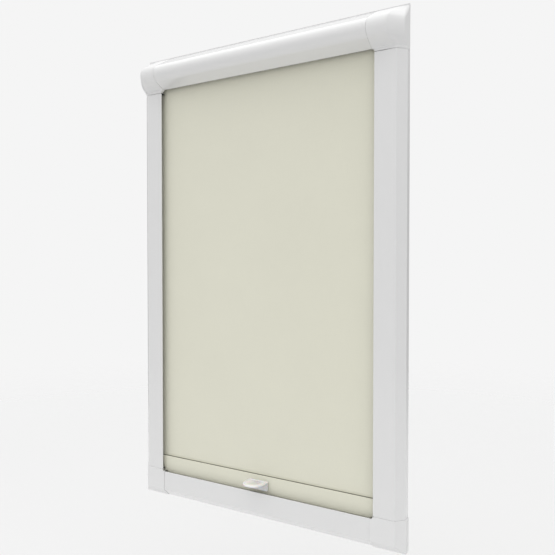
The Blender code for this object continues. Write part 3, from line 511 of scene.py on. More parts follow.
def grain_group():
    """Painted or moulded surface: a fine pebble over a soft unevenness of tone and gloss.

    Between the heights Low and High the colour goes from Painted Shade Tone to its full tone, painted shade
    that is darker lower down.
    """
    tree, given, out = group(
        "surface_grain",
        [
            ("Vector", "Vector", None),
            ("Colour", "Color", (0.8, 0.8, 0.8, 1)),
            ("Grain Scale", "Float", 900.0),
            ("Tone Spread", "Float", 0.02),
            ("Roughness", "Float", 0.4),
            ("Roughness Spread", "Float", 0.06),
            ("Low", "Float", -11.0),
            ("High", "Float", -10.0),
            ("Low Tone", "Float", 1.0),
        ],
        [("Color", "Color"), ("Roughness", "Float"), ("Height", "Float")],
    )
    fine = noise(tree, given["Vector"], given["Grain Scale"], 3.0, 0.6)
    cloud = noise(tree, given["Vector"], 14.0, 4.0, 0.55)
    smudge = noise(tree, given["Vector"], 60.0, 3.0, 0.6)
    low = maths(tree, "SUBTRACT", 1.0, given["Tone Spread"])
    high = maths(tree, "ADD", 1.0, given["Tone Spread"])
    mixed = maths(tree, "ADD", maths(tree, "MULTIPLY", cloud, 0.7), maths(tree, "MULTIPLY", fine, 0.3))
    height = add(tree, "SeparateXYZ", {0: given["Vector"]}).outputs[2]
    # painted shade by height: the colour darkens towards Low
    rise = {"Value": height, "From Min": given["Low"], "From Max": given["High"]}
    lit = add(tree, "MapRange", rise | {"To Min": given["Low Tone"]}).outputs[0]
    tone = maths(tree, "MULTIPLY", ranged(tree, mixed, low, high), lit)
    tree.links.new(shade(tree, given["Colour"], tone), out["Color"])
    swing = maths(tree, "MULTIPLY", maths(tree, "SUBTRACT", smudge, 0.5), given["Roughness Spread"])
    rough = maths(tree, "ADD", given["Roughness"], maths(tree, "MULTIPLY", swing, 2.0))
    tree.links.new(rough, out["Roughness"])
    tree.links.new(fine, out["Height"])
    return tree


def weave_group():
    """Plain weave on a surface's own lengths: warp and weft take turns on top, with slubs in both.

    The cloth is darkened with painted shade up to Crease Shade End along its length, where it goes down into
    the bar's crease.
    """
    tree, given, out = group(
        "plain_weave",
        [
            ("Vector", "Vector", None),
            ("Colour", "Color", (0.8, 0.8, 0.7, 1)),
            ("Thread", "Float", 0.0006),
            ("Thread Tone", "Float", 0.05),
            ("Crease Shade End", "Float", 0.0),
            ("Roughness", "Float", 0.85),
        ],
        [("Color", "Color"), ("Roughness", "Float"), ("Height", "Float")],
    )
    parts = add(tree, "SeparateXYZ", {0: given["Vector"]}).outputs
    across = maths(tree, "DIVIDE", parts[0], given["Thread"])
    along = maths(tree, "DIVIDE", parts[1], given["Thread"])
    wave_a = maths(tree, "SINE", maths(tree, "MULTIPLY", across, math.pi))
    wave_b = maths(tree, "SINE", maths(tree, "MULTIPLY", along, math.pi))
    turn = maths(tree, "MULTIPLY", wave_a, wave_b)
    warp_on_top = ranged(tree, turn, 0.5, 1.0)
    weft_on_top = maths(tree, "SUBTRACT", 1.5, warp_on_top)
    warp = maths(tree, "MULTIPLY", maths(tree, "ABSOLUTE", wave_a), warp_on_top)
    weft = maths(tree, "MULTIPLY", maths(tree, "ABSOLUTE", wave_b), weft_on_top)
    height = maths(tree, "MAXIMUM", warp, weft)
    tones = []
    for first, second in ((across, along), (along, across)):
        thread_end = {0: maths(tree, "FLOOR", first), 1: maths(tree, "MULTIPLY", second, 0.02)}
        tones.append(noise(tree, add(tree, "CombineXYZ", thread_end).outputs[0], 0.9, 2.0, 0.6))
    thread = maths(tree, "MULTIPLY", maths(tree, "ADD", *tones), 0.5)
    cloud = noise(tree, given["Vector"], 9.0, 4.0, 0.6)
    tone = maths(tree, "ADD", maths(tree, "MULTIPLY", thread, 0.6), maths(tree, "MULTIPLY", cloud, 0.4))
    low = maths(tree, "SUBTRACT", 1.0, given["Thread Tone"])
    high = maths(tree, "ADD", 1.0, given["Thread Tone"])
    # painted shade: the weave a little darker in its hollows between threads
    valley_shade = ranged(tree, height, 0.90, 1.0)
    # painted shade: darker towards the cloth's end, where it goes down into the bar's crease
    crease_shade_start = maths(tree, "SUBTRACT", given["Crease Shade End"], CREASE_SHADE_FADE)
    hem = {"Value": parts[1], "From Min": crease_shade_start, "From Max": given["Crease Shade End"]}
    fold = add(tree, "MapRange", hem | {"To Min": CREASE_SHADE_TONE, "To Max": 1.0}).outputs[0]
    factor = maths(tree, "MULTIPLY", maths(tree, "MULTIPLY", ranged(tree, tone, low, high), valley_shade), fold)
    tree.links.new(shade(tree, given["Colour"], factor), out["Color"])
    lift = maths(tree, "MULTIPLY", maths(tree, "SUBTRACT", thread, 0.5), 0.2)
    tree.links.new(maths(tree, "ADD", given["Roughness"], lift), out["Roughness"])
    tree.links.new(height, out["Height"])
    return tree


def streak_group():
    """Drawn or plated metal: long fine streaks along one direction, with a few duller patches."""
    tree, given, out = group(
        "drawn_streaks",
        [
            ("Vector", "Vector", None),
            ("Colour", "Color", (0.6, 0.6, 0.6, 1)),
            ("Streaks", "Vector", (40.0, 2500.0, 2500.0)),
            ("Roughness", "Float", 0.3),
        ],
        [("Color", "Color"), ("Roughness", "Float"), ("Height", "Float")],
    )
    stretched = add(tree, "VectorMath", {0: given["Vector"], 1: given["Streaks"]}, operation="MULTIPLY")
    lines = noise(tree, stretched.outputs[0], 1.0, 3.0, 0.7)
    patches = noise(tree, given["Vector"], 90.0, 3.0, 0.6)
    tone = maths(tree, "ADD", maths(tree, "MULTIPLY", lines, 0.5), maths(tree, "MULTIPLY", patches, 0.5))
    tree.links.new(shade(tree, given["Colour"], ranged(tree, tone, 0.85, 1.12)), out["Color"])
    lift = maths(tree, "MULTIPLY", maths(tree, "SUBTRACT", patches, 0.4), 0.35)
    tree.links.new(maths(tree, "ADD", given["Roughness"], lift), out["Roughness"])
    tree.links.new(lines, out["Height"])
    return tree


def finish(name, tree_group, values, bump, distance, on_surface=False, **shader_values):
    """A material: one effect group, on Object coordinates or the piece's own UV, into a Principled BSDF."""
    made = bpy.data.materials.new(name)
    made.use_nodes = True
    tree = made.node_tree
    shader = tree.nodes["Principled BSDF"]
    if on_surface:
        where = add(tree, "UVMap", uv_map="surface").outputs[0]
    else:
        where = add(tree, "TexCoord").outputs["Object"]
    effect = add(tree, "Group", node_tree=tree_group)
    tree.links.new(where, effect.inputs["Vector"])
    for key, value in values.items():
        effect.inputs[key].default_value = value
    tree.links.new(effect.outputs["Color"], shader.inputs["Base Color"])
    tree.links.new(effect.outputs["Roughness"], shader.inputs["Roughness"])
    relief = add(tree, "Bump", {"Strength": bump, "Distance": distance, "Height": effect.outputs["Height"]})
    tree.links.new(relief.outputs[0], shader.inputs["Normal"])
    for key, value in shader_values.items():
        shader.inputs[key.replace("_", " ")].default_value = value
    return made


def build_finishes(settings):
    """Every finish by the name of its slot.

    A row is a slot's material name, effect group, group values, bump strength and depth, and the values
    set on the shader itself.
    """
    grain, weave, streaks = grain_group(), weave_group(), streak_group()
    paint, plastic, cloth = ((*c, 1) for c in (settings.paint, settings.plastic, settings.cloth))

    def grained(colour, scale, spread, rough):
        return {"Colour": colour, "Grain Scale": scale, "Tone Spread": spread, "Roughness": rough}

    def plated(colour, scale, rough):
        return {"Colour": colour, "Streaks": (scale,) * 3, "Roughness": rough}

    # painted shade: the pull's dished top darker low down and its raised rim left at full tone
    rise = {"Low": PULL_HIGH[2] - 0.0030, "High": PULL_HIGH[2] + 0.0018, "Low Tone": 0.72}
    weave_values = {"Colour": cloth, "Thread": settings.thread_pitch, "Thread Tone": 0.06}
    weave_values |= {"Crease Shade End": CREASE_SHADE_LENGTH, "Roughness": 0.8}
    rows = {
        "white_paint": (
            ("satin_powder_coat", grain, grained(paint, 1400.0, 0.012, 0.36), 0.25, 0.00004),
            {"Coat_Weight": 0.9, "Coat_Roughness": 0.06, "Coat_IOR": 1.7},
        ),
        "white_plastic": (
            ("fine_textured_plastic", grain, grained(plastic, 2600.0, 0.016, 0.42), 0.35, 0.00004),
            {"Specular_IOR_Level": 0.3},
        ),
        "fabric": (
            ("blackout_weave", weave, weave_values, 0.35, 0.00012),
            {"on_surface": True, "Sheen_Weight": 0.10, "Sheen_Roughness": 0.5},
        ),
        "pile": (
            ("grey_pile", grain, grained((0.46, 0.46, 0.45, 1), 1800.0, 0.25, 0.9), 0.6, 0.0002),
            {"Sheen_Weight": 0.3},
        ),
        "aluminium": (
            ("mill_aluminium", streaks, {"Colour": (0.70, 0.71, 0.72, 1)}, 0.2, 0.00002),
            {"Metallic": 1.0},
        ),
        "steel": (
            ("zinc_plate", streaks, plated((0.62, 0.63, 0.66, 1), 700.0, 0.28), 0.2, 0.00002),
            {"Metallic": 1.0},
        ),
        "spring_steel": (
            ("oiled_spring_steel", streaks, plated((0.22, 0.22, 0.24, 1), 900.0, 0.3), 0.2, 0.00002),
            {"Metallic": 1.0},
        ),
        "nylon": (
            ("natural_nylon", grain, grained((0.72, 0.72, 0.69, 1), 1500.0, 0.03, 0.45), 0.3, 0.00005),
            {"Subsurface_Weight": 0.15, "Subsurface_Scale": 0.002},
        ),
        "rubber": (
            ("friction_rubber", grain, grained((0.05, 0.05, 0.05, 1), 900.0, 0.2, 0.75), 0.5, 0.0001),
            {},
        ),
        "handle_plastic": (
            (
                "frosted_pull_plastic",
                grain,
                grained((*settings.pull, 1), 1200.0, 0.02, 0.22) | {"Roughness Spread": 0.04} | rise,
                0.15,
                0.00004,
            ),
            {
                "Coat_Weight": 0.4,
                "Coat_Roughness": 0.12,
                "Subsurface_Weight": 0.25,
                "Subsurface_Scale": 0.003,
            },
        ),
    }
    return {slot: finish(*row, **on_shader) for slot, (row, on_shader) in rows.items()}


LOOKS = {}


def look(slot):
    """The finish of a slot, all of them being made the first time."""
    if not LOOKS:
        LOOKS.update(build_finishes(bpy.context.scene.blind_finish))
    return LOOKS[slot]


# ---------------------------------------------------------------- cassette


def touching(point, centre, radius, turn):
    """Where the line from a point touches a circle, on the side given by +1 or -1."""
    away = np.subtract(centre, point)
    distance = np.hypot(*away)
    angle = math.atan2(away[1], away[0]) + turn * math.asin(radius / distance)
    length = math.sqrt(distance**2 - radius**2)
    return np.array([point[0] + length * math.cos(angle), point[1] + length * math.sin(angle)])


def cassette_path(inset=0.0, steps=48):
    """The cover's outer section as (y, z) rows from lip to top: a slope, the round nose, a slope back."""
    lip = np.array([RAIL_FRONT + LIP_SETBACK, LIP_Z])
    top = np.array([-RIM_DEPTH - GAP, RIM_Z])
    nose = np.array([NOSE_FRONT + NOSE_RADIUS, LIP_Z + NOSE_ABOVE_LIP])
    low = touching(lip, nose, NOSE_RADIUS, 1) - nose
    high = touching(top, nose, NOSE_RADIUS, -1) - nose
    start, end = (math.atan2(p[1], p[0]) % (2 * math.pi) for p in (low, high))
    angle = np.linspace(start, end, steps)
    arc = nose + (NOSE_RADIUS - inset) * np.stack([np.cos(angle), np.sin(angle)], 1)
    first = lip - inset * np.array([math.cos(start), math.sin(start)])
    last = top - np.array([0, inset / math.sin(end)])
    return np.concatenate([[first], arc, [last]])


def cover_section(soft):
    """The cover's closed section: the path out, its inner side back, and a return behind the lip."""
    outer, inner = cassette_path(), cassette_path(COVER_WALL)[::-1]
    lip_y = outer[0, 0]
    fold_z = np.interp(-lip_y, -inner[::-1][:2, 0], inner[::-1][:2, 1])
    corners = [(*outer[0], soft), *[(y, z, 0) for y, z in outer[1:-1]], (*outer[-1], soft / 2)]
    corners += [(y, z, 0) for y, z in inner[:-1]]
    corners += [
        (lip_y, fold_z, 0),
        (lip_y, LIP_Z + PILE_WIDTH, soft / 2),
        (lip_y + LIP_RETURN, LIP_Z + PILE_WIDTH, soft / 2),
        (lip_y + LIP_RETURN, LIP_Z, soft / 2),
    ]
    return rounded(corners)


def build_cover(settings):
    """The cover: its section carried straight from cap to cap."""
    form = swept(cover_section(settings.lip_radius), at_x, COVER_LOW[0], COVER_HIGH[0], settings.edge_radius)
    made = put("cover_shell", form)
    even_shading(made)
    fit(made, "frame", "white_paint", "cassette_cover")


def hole_form(x, z, radius):
    """A round cutter through the wall face."""
    return turned([(-0.012, radius), (0.004, radius)], round_y(x, z), 32)


def screw_spots(word):
    """Where a cap's tongue is screwed to the back, as (x, z)."""
    return [middle_of(f"cap_screw_{word}_{i}")[[0, 2]] for i in (1, 2)]


def build_back(settings):
    """The wall plate: a flat web, a rim that the cover meets and a ledge behind the cloth."""
    shelf, soft = RIM_Z - RIM_DEPTH, 0.0004
    ledge_low, ledge_high = LIP_Z + 0.0013, LIP_Z + 0.0013 + BACK_WALL
    section = rounded(
        [
            (0.0, BACK_LOW[2], soft),
            (0.0, TOP_Z, soft),
            (-RIM_DEPTH, TOP_Z, soft),
            (-RIM_DEPTH, shelf, soft),
            (-BACK_WALL, shelf, soft),
            (-BACK_WALL, ledge_high, soft),
            (BACK_LOW[1], ledge_high, soft),
            (BACK_LOW[1], ledge_low, soft),
            (-BACK_WALL, ledge_low, soft),
            (-BACK_WALL, BACK_LOW[2], soft),
        ]
    )
    made = put("wall_plate", swept(section, at_x, BACK_LOW[0], BACK_HIGH[0], settings.edge_radius))
    holes = [hole_form(s * 0.7 * BACK_HIGH[0], ROLL_Z, FIXING_HOLE) for s in (-1, 1)]
    holes += [hole_form(x, z, SCREW_HOLE) for _, word in SIDES for x, z in screw_spots(word)]
    carve(made, *holes)
    even_shading(made)
    fit(made, "frame", "white_paint", "cassette_back")


# ---------------------------------------------------------------- end caps


def cap_plan(z):
    """The cap's plan at each height as four corners: inner end, slant's start, slant's end and back.

    At the bottom seam the slant is the rail's chamfer. It grows out and forwards with the nose; above it
    the slant keeps its width and carries the cassette's section to the side, drawn in by one share.
    """
    path = cassette_path(steps=160)
    front = np.interp(z, path[:, 1], path[:, 0])
    low = z < LIP_Z + NOSE_ABOVE_LIP
    front = np.where(low, np.minimum(RAIL_FRONT, front), front)
    bulge = np.where(low, (RAIL_FRONT - front) / (RAIL_FRONT - NOSE_FRONT), 1.0)
    slant = CHAMFER + bulge * (CAP_SLANT_WIDTH - CHAMFER)
    seam_side = RAIL_FRONT + CHAMFER
    side_y = seam_side - bulge * (seam_side + CAP_SIDE_REACH)
    side_y = np.where(low, side_y, front * CAP_SIDE_REACH / -NOSE_FRONT)
    fillet_z = LIP_Z - WINDOW_FILLET
    drop = np.clip(z - fillet_z, 0, WINDOW_FILLET)
    inner_x = SEAM_HALF + GAP / 2 + np.sqrt(WINDOW_FILLET**2 - drop**2)
    inner_x = np.where(z < fillet_z, WINDOW_HALF, inner_x)
    far = np.full_like(z, HALF_WIDTH)
    ends = (inner_x, front), (HALF_WIDTH - slant, front), (far, side_y), (far, np.zeros_like(z))
    return [np.stack(end, -1) for end in ends]


def round_corner(before, corner, after, radius, steps):
    """Arcs at one corner of many plans at once, their reach at most half of the shorter side."""
    a, b = before - corner, after - corner
    la, lb = np.linalg.norm(a, axis=1, keepdims=True), np.linalg.norm(b, axis=1, keepdims=True)
    a, b = a / la, b / lb
    half = np.arccos(np.clip((a * b).sum(1, keepdims=True), -1, 1)) / 2
    reach = np.minimum(radius / np.tan(half), 0.48 * np.minimum(la, lb))
    middle = (a + b) / np.linalg.norm(a + b, axis=1, keepdims=True)
    centre = corner + middle * reach / np.cos(half)
    return arcs_between(centre, corner + a * reach, corner + b * reach, half, steps)


def cap_surface(settings):
    """The cap's outer face for the right-hand side: rounded plans stacked from the seam to the rim."""
    path_z = cassette_path(steps=40)[:, 1]
    low = np.linspace(CAP_BOTTOM + settings.seam_groove, LIP_Z, 9)
    z = np.concatenate([low, path_z[1:-1], np.linspace(path_z[-2], RIM_Z, 10)[1:]])
    z = np.unique(np.round(z, 7))
    a, b, c, d = cap_plan(z)
    arc_b = round_corner(a, b, c, settings.cap_front_radius, 10)
    arc_c = round_corner(b, c, d, settings.cap_side_radius, 12)
    t = np.linspace(0, 1, 4)[None, :-1, None]
    front = a[:, None] + t * (arc_b[:, :1] - a[:, None])
    lip = a[:, None] + np.linspace(1, 0, 4)[None, :-1, None] * np.array((0.0, CAP_RETURN))
    back = arc_c[:, -1:] + np.linspace(0, 1, 6)[None, 1:, None] * (d[:, None] - arc_c[:, -1:])
    lip[..., 1] = np.minimum(lip[..., 1], -RIM_DEPTH)
    plan = np.concatenate([lip, front, arc_b, arc_c, back], 1)
    height = np.broadcast_to(z[:, None, None], (*plan.shape[:2], 1))
    points = np.concatenate([plan, height], 2)
    return points.reshape(-1, 3), grid_faces(*plan.shape[:2])


def chamber(inset):
    """The hollow behind the slot as (u, y, radius) corners, shrunk by inset for the spigots that fill it."""
    near, far = SLOT_DEPTH + WALL + inset, RAIL_WIDTH - WALL - inset
    front, back = RAIL_FRONT + WALL + inset, -WALL - inset
    slant = CHAMFER + (WALL + inset) * (math.sqrt(2) - 2)
    corners = [(near, front), (far - slant, front), (far, front + slant), (far, back), (near, back)]
    return rounded([(*corner, CHAMBER_RADIUS) for corner in corners], 4)


def cap_inside(word):
    """What the cap has inside: its floor, the spigot in the rail, the tongue, the posts and the top rim."""
    skin_middle = HALF_WIDTH - MOULDED_WALL / 2
    floor = swept(chamber(-WALL + 0.0006), leg_place(), CAP_BOTTOM, CAP_BOTTOM + MOULDED_WALL)
    leg_ends = CAP_BOTTOM - SPIGOT_LENGTH, CAP_BOTTOM + MOULDED_WALL / 2
    leg = swept(chamber(GAP), leg_place(), *leg_ends, SPIGOT_EDGE)
    tongue_y = -BACK_WALL - GAP - MOULDED_WALL
    tongue_low = (screw_spots("right")[0][0] - TONGUE_PAST_SCREW, tongue_y, LIP_Z + TONGUE_LOW)
    tongue = block(tongue_low, (skin_middle, tongue_y + MOULDED_WALL, LIP_Z + TONGUE_HIGH), 0.0004)
    rim_low = (SEAM_HALF + GAP / 2, -RIM_DEPTH, RIM_Z - MOULDED_WALL)
    rim = block(rim_low, (HALF_WIDTH, 0.0, TOP_Z), 0.0004)
    posts = []
    for i in (1, 2):
        _, y, z = middle_of(f"bracket_screw_{word}_{i}")
        ends = [(BRACKET_FACE + GAP, POST_RADIUS), (skin_middle, POST_RADIUS)]
        posts.append(turned(ends, round_x(y, z), 32))
    return combined([floor, leg, tongue, rim, *posts])


def moulding(name, node, side, surface, inside, settings):
    """A hollow moulding: its outer face with a wall inwards, and what stands inside it."""
    made = put(name, mirrored(surface, side), closed=False)
    wall(made, MOULDED_WALL)
    soften(made, settings.edge_radius)
    bake(made)
    smooth(made)
    made = merged(made, put("inside", mirrored(inside, side)))
    even_shading(made)
    fit(made, "frame", "white_plastic", node)


def build_end_cap(side, word, settings):
    """One end cap, drawn for the right-hand side."""
    moulding(f"cap_{word}", f"end_cap_{word}", side, cap_surface(settings), cap_inside(word), settings)


def merged(first, *others):
    """Other objects' meshes put into the first object's."""
    work = bmesh.new()
    for made in (first, *others):
        work.from_mesh(made.data)
    work.to_mesh(first.data)
    work.free()
    for made in others:
        bpy.data.objects.remove(made)
    smooth(first)
    return first


# ---------------------------------------------------------------- rails and corners


def rail_section(settings):
    """The extrusion's section as (u, y) from the window's edge outwards, with its slot and pile grooves."""
    soft, fold = settings.edge_radius, settings.chamfer_radius
    near, far = PILE_FROM_MOUTH - RIB, PILE_FROM_MOUTH + PILE_WIDTH
    back, top = -WALL, -WALL - RIB
    outer = [
        (0, RAIL_FRONT, soft * 1.5),
        (RAIL_WIDTH - CHAMFER, RAIL_FRONT, fold),
        (RAIL_WIDTH, RAIL_FRONT + CHAMFER, fold),
        (RAIL_WIDTH, 0, soft * 1.5),
        (0, 0, soft),
    ]
    ribs = [[(u, back), (u, top), (u + RIB, top), (u + RIB, back)] for u in (near, far)]
    rear = [(u, y, soft / 2) for u, y in [(0, back), *ribs[0], *ribs[1], (SLOT_DEPTH, back)]]
    front = [(u, RAIL_FRONT - y, r) for u, y, r in reversed(rear)]
    return rounded(outer + rear + front, 5)


def extrusion(name, node, form, place, low, high, spots):
    """A rail: its form hollowed behind the slot from end to end and drilled at each (x, z) spot."""
    made = put(name, form)
    hollow = swept(chamber(0), place, low - CUT_PAST, high + CUT_PAST)
    carve(made, hollow, *[wall_hole(x, z) for x, z in spots])
    even_shading(made)
    fit(made, "frame", "white_paint", node)


def build_rail(side, word, settings):
    """One side rail, drilled at its quarters."""
    low, high = RAIL_LOW[2], RAIL_HIGH[2]
    form = swept(rail_section(settings), leg_place(side), low, high, 0.0005)
    x = side * (WINDOW_HALF + SLOT_DEPTH * FIXING_PLACE)
    spots = [(x, z) for z in np.linspace(low, high, 5)[1:-1]]
    extrusion(f"rail_{word}", f"side_channel_{word}", form, leg_place(side), low, high, spots)


def wall_hole(x, z):
    """A fixing hole's cutter through the slot's back wall only."""
    return turned([(-WALL - 0.002, FIXING_HOLE), (0.004, FIXING_HOLE)], round_y(x, z), 32)


def sill_place(u, y, x):
    """A section's points along the bottom, u running downwards from the window's lower edge."""
    return np.stack([np.broadcast_to(x, u.shape), y, SILL_EDGE - u], -1)


def build_sill(settings):
    """The bottom rail, drilled towards its ends."""
    low, high = SILL_LOW[0], SILL_HIGH[0]
    form = swept(rail_section(settings), sill_place, low, high)
    spots = [(s * high * 0.6, SILL_EDGE - SLOT_DEPTH * FIXING_PLACE) for s in (-1, 1)]
    extrusion("rail_bottom", "bottom_channel", form, sill_place, low, high, spots)


def corner_surface(settings):
    """The corner's outer face: the rail's section, a little proud, carried round the window's corner.

    At offset u from the window's edge the path is a quarter circle between the side leg and the bottom
    leg, whose radius falls from the window's fillet to the outer corner's.
    """
    proud = RAIL_FRONT - CORNER_FRONT
    far = RAIL_WIDTH + proud
    slant = CHAMFER + proud * (2 - math.sqrt(2))
    front = CORNER_FRONT
    fold = settings.chamfer_radius
    corners = [(far - slant, front, fold), (far, front + slant, fold)]
    bends = rounded([(-1, front, 0), *corners, (far, 1, 0), (-1, 1, 0)], 8)[1:-2]
    lip = np.stack([np.zeros(3), front + CORNER_RETURN * np.linspace(1, 0, 4)[:-1]], 1)
    flat = np.stack([np.linspace(0, bends[0, 0], 5)[:-1], np.full(4, front)], 1)
    side = np.stack([np.full(4, far), np.linspace(bends[-1, 1], 0, 5)[1:]], 1)
    u, y = np.concatenate([lip, flat, bends, side]).T
    radius = WINDOW_FILLET + (settings.corner_radius - WINDOW_FILLET) * u / far
    turn = np.linspace(0, math.pi / 2, 11)
    centre_x, centre_z = WINDOW_HALF + u - radius, SILL_EDGE - u + radius
    arc_x = centre_x[:, None] + radius[:, None] * np.cos(turn)
    arc_z = centre_z[:, None] - radius[:, None] * np.sin(turn)
    one = np.ones((len(u), 1))
    x = np.hstack([one * arc_x[:, :1], arc_x, one * (SEAM_HALF + GAP / 2 - SEAM_CLOSED)])
    z = np.hstack([one * (CORNER_TOP - GAP / 2 + SEAM_CLOSED), arc_z, arc_z[:, -1:]])
    points = np.stack([x, np.broadcast_to(y[:, None], x.shape), z], -1)
    return points.reshape(-1, 3), grid_faces(*x.shape)


def corner_inside():
    """The corner's spigots into both channels and the rib that stops the bar."""
    place, seam, top = leg_place(), SEAM_HALF, CORNER_TOP
    root, spigot = chamber(-WALL + 0.0005), chamber(GAP)
    stop_x = CLOTH_HIGH[0] + 2 * BAR_SLOT
    stop_low = (stop_x, CORNER_FRONT + BLEND_IN, SILL_LOW[2] + STOP_FOOT)
    stop_high = (stop_x + STOP_WIDTH, -0.003, span("bar_end_right")[0][2] - GAP)
    return combined(
        [
            swept(root, place, top - SPIGOT_ROOT, top - GAP / 2),
            swept(spigot, place, top - BLEND_IN, top + SPIGOT_LENGTH, SPIGOT_EDGE),
            swept(root, sill_place, seam + GAP / 2, seam + SPIGOT_ROOT),
            swept(spigot, sill_place, seam - SPIGOT_LENGTH, seam + BLEND_IN, SPIGOT_EDGE),
            block(stop_low, stop_high),
        ]
    )


def build_corner(side, word, settings):
    """One bottom corner, drawn for the right-hand side."""
    surface = corner_surface(settings)
    moulding(f"corner_{word}", f"bottom_corner_{word}", side, surface, corner_inside(), settings)


# ---------------------------------------------------------------- cloth


def cloth_grid(place, width, length, columns, rows):
    """A single layer of cloth: place(u, v) gives the points at u across and v along, in metres of cloth."""
    u, v = np.meshgrid(np.linspace(0, width, columns), np.linspace(0, length, rows))
    points = place(u, v).reshape(-1, 3)
    return (points, grid_faces(rows, columns)), np.stack([u.ravel(), v.ravel()], 1)


def thicken(made):
    """The cloth's thickness, half on each side of its layer."""
    wall(made, CLOTH_THICKNESS, 0.0)
    bake(made)
    smooth(made)


def build_hanging_cloth(settings):
    """The hanging cloth: flat, with a slow waviness that dies out towards the bar and the roller.

    The depth is three long sine waves across and along, times a half sine wave down the length.
    """
    low, high = CLOTH_LOW, CLOTH_HIGH
    width, length = high[0] - low[0], high[2] - low[2]
    middle = (low[1] + high[1]) / 2

    def place(u, v):
        across, along = u / width, v / length
        wave = np.sin(2 * math.pi * (1.5 * across + 0.3 * along + 0.1))
        wave += 0.6 * np.sin(2 * math.pi * (2.6 * across - 0.4 * along + 0.45))
        wave += 0.5 * np.sin(2 * math.pi * (0.8 * across + 1.3 * along))
        held = np.sin(math.pi * along) ** 0.7 * np.sin(math.pi * np.clip(across, 0.001, 0.999)) ** 0.5
        return np.stack([low[0] + u, middle + settings.ripple * wave * held, low[2] + v], -1)

    # the cloth's length starts at its foot, so the foot inside the bar's crease takes the painted crease
    # shade
    form, uv = cloth_grid(place, width, length, 81, 121)
    made = put("hanging_cloth", form, closed=False, uv=uv)
    thicken(made)
    fit(made, "frame", "fabric", "fabric_sheet")
    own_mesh(made)


def build_wound_cloth():
    """The last turn of cloth left on the tube: just under one wrap of a slowly opening spiral."""
    inner = (TUBE_HIGH[1] - TUBE_LOW[1]) / 2 + GAP + CLOTH_THICKNESS / 2
    turn = math.radians(352)
    width, length = ROLL_HIGH[0] - ROLL_LOW[0], inner * turn

    def place(u, v):
        angle = v / inner
        radius = inner + 0.00008 * angle / turn
        y, z = ROLL_Y + radius * np.cos(angle), ROLL_Z + radius * np.sin(angle)
        return np.stack([ROLL_LOW[0] + u, y, z], -1)

    form, uv = cloth_grid(place, width, length, 9, 73)
    uv += WOUND_START
    made = put("wound_cloth", form, closed=False, uv=uv)
    thicken(made)
    fit(made, "roller", "fabric", "fabric_roll")


def build_bar_cloth(settings):
    """The cloth pocket round the bar.

    Its section starts inside the top slot, rolls over the front lip, goes round and back into the slot.
    """
    half = CLOTH_THICKNESS / 2
    front, back = BAR_LOW[1] + half, BAR_HIGH[1] - half
    low, high = BAR_LOW[2] + half - FOOT_DROP, BAR_HIGH[2] - half
    middle, radius = (front + back) / 2, settings.bar_radius
    foot, mouth = BAR_SLOT / 2 + 0.0002, settings.crease / 2
    bead = 0.48 * (middle - mouth - front)
    loop = rounded(
        [
            (middle, high - settings.crease_depth - CREASE_SEAM, 0),
            (middle - foot, high - settings.crease_depth, 0),
            (middle - mouth, high, bead),
            (front, high, bead),
            (front, low + settings.taper_height, BAR_BOW_RADIUS),
            (front + settings.taper, low, radius),
            (back, low, radius),
            (back, high, bead),
            (middle + mouth, high, bead),
            (middle + foot, high - settings.crease_depth, 0),
        ],
        7,
    )
    path = loop[1:]
    run = np.concatenate([[0], np.cumsum(np.linalg.norm(np.diff(path, axis=0), axis=1))])
    even = np.sort(np.concatenate([run, np.linspace(0, run[-1], 40)[1:-1]]))
    even = even[np.concatenate([[True], np.diff(even) > 1e-5])]
    x = np.linspace(BAR_LOW[0], BAR_HIGH[0], 61)
    u, v = np.meshgrid(x - x[0], even)
    points = np.stack([x[0] + u, np.interp(v, run, path[:, 0]), np.interp(v, run, path[:, 1])], -1)
    form = points.reshape(-1, 3), grid_faces(*u.shape)
    # the length starts at POCKET_HEM, so the cloth going down into the crease takes the painted crease shade
    made = put("bar_cloth", form, closed=False, uv=np.stack([u.ravel(), v.ravel() + POCKET_HEM], 1))
    thicken(made)
    fit(made, "pull_bar", "fabric", "bar_sleeve")


def build_bar_core(settings):
    """The bar's extrusion: its keyhole slot opens into a wider mouth that the cloth is tucked into."""
    skin = CLOTH_THICKNESS + 2 * GAP
    front, back = BAR_LOW[1] + skin, BAR_HIGH[1] - skin
    low, high = BAR_LOW[2] + skin, BAR_HIGH[2] - skin
    middle, neck = (front + back) / 2, BAR_SLOT / 2 + skin
    mouth, foot = settings.crease / 2 + skin * 0.6, BAR_HIGH[2] - settings.crease_depth - skin
    spline_low, spline_high = span("bar_spline")
    seat, seat_low, seat_high = SPLINE_SEAT, spline_low[2] - 2 * GAP, spline_high[2] + 2 * GAP
    half = [(front + settings.taper, low), (back, low), (back, high), (middle + mouth, high)]
    half += [(middle + neck, foot), (middle + neck, seat_high)]
    half += [(middle + seat, seat_high), (middle + seat, seat_low)]
    mirror = [(2 * middle - y, z) for y, z in reversed(half[2:])]
    mirror.append((front, low + settings.taper_height))
    outline = rounded([(*corner, 0.0002) for corner in half + mirror], 3)
    ends = BAR_LOW[0], BAR_HIGH[0]
    made = put("bar_extrusion", swept(outline, at_x, *ends))
    hollow_low = (ends[0] - CUT_PAST, front + settings.taper + 0.001, low + BAR_WALL)
    hollow = block(hollow_low, (ends[1] + CUT_PAST, back - BAR_WALL, seat_low - BAR_WALL))
    holes = []
    for i in (1, 2):
        x, _, z = middle_of(f"handle_screw_{i}")
        holes.append(turned([(front - 0.005, SCREW_HOLE), (back + 0.005, SCREW_HOLE)], round_y(x, z), 24))
    carve(made, hollow, *holes)
    even_shading(made)
    fit(made, "pull_bar", "aluminium", "bar_core")


# ---------------------------------------------------------------- pull handle


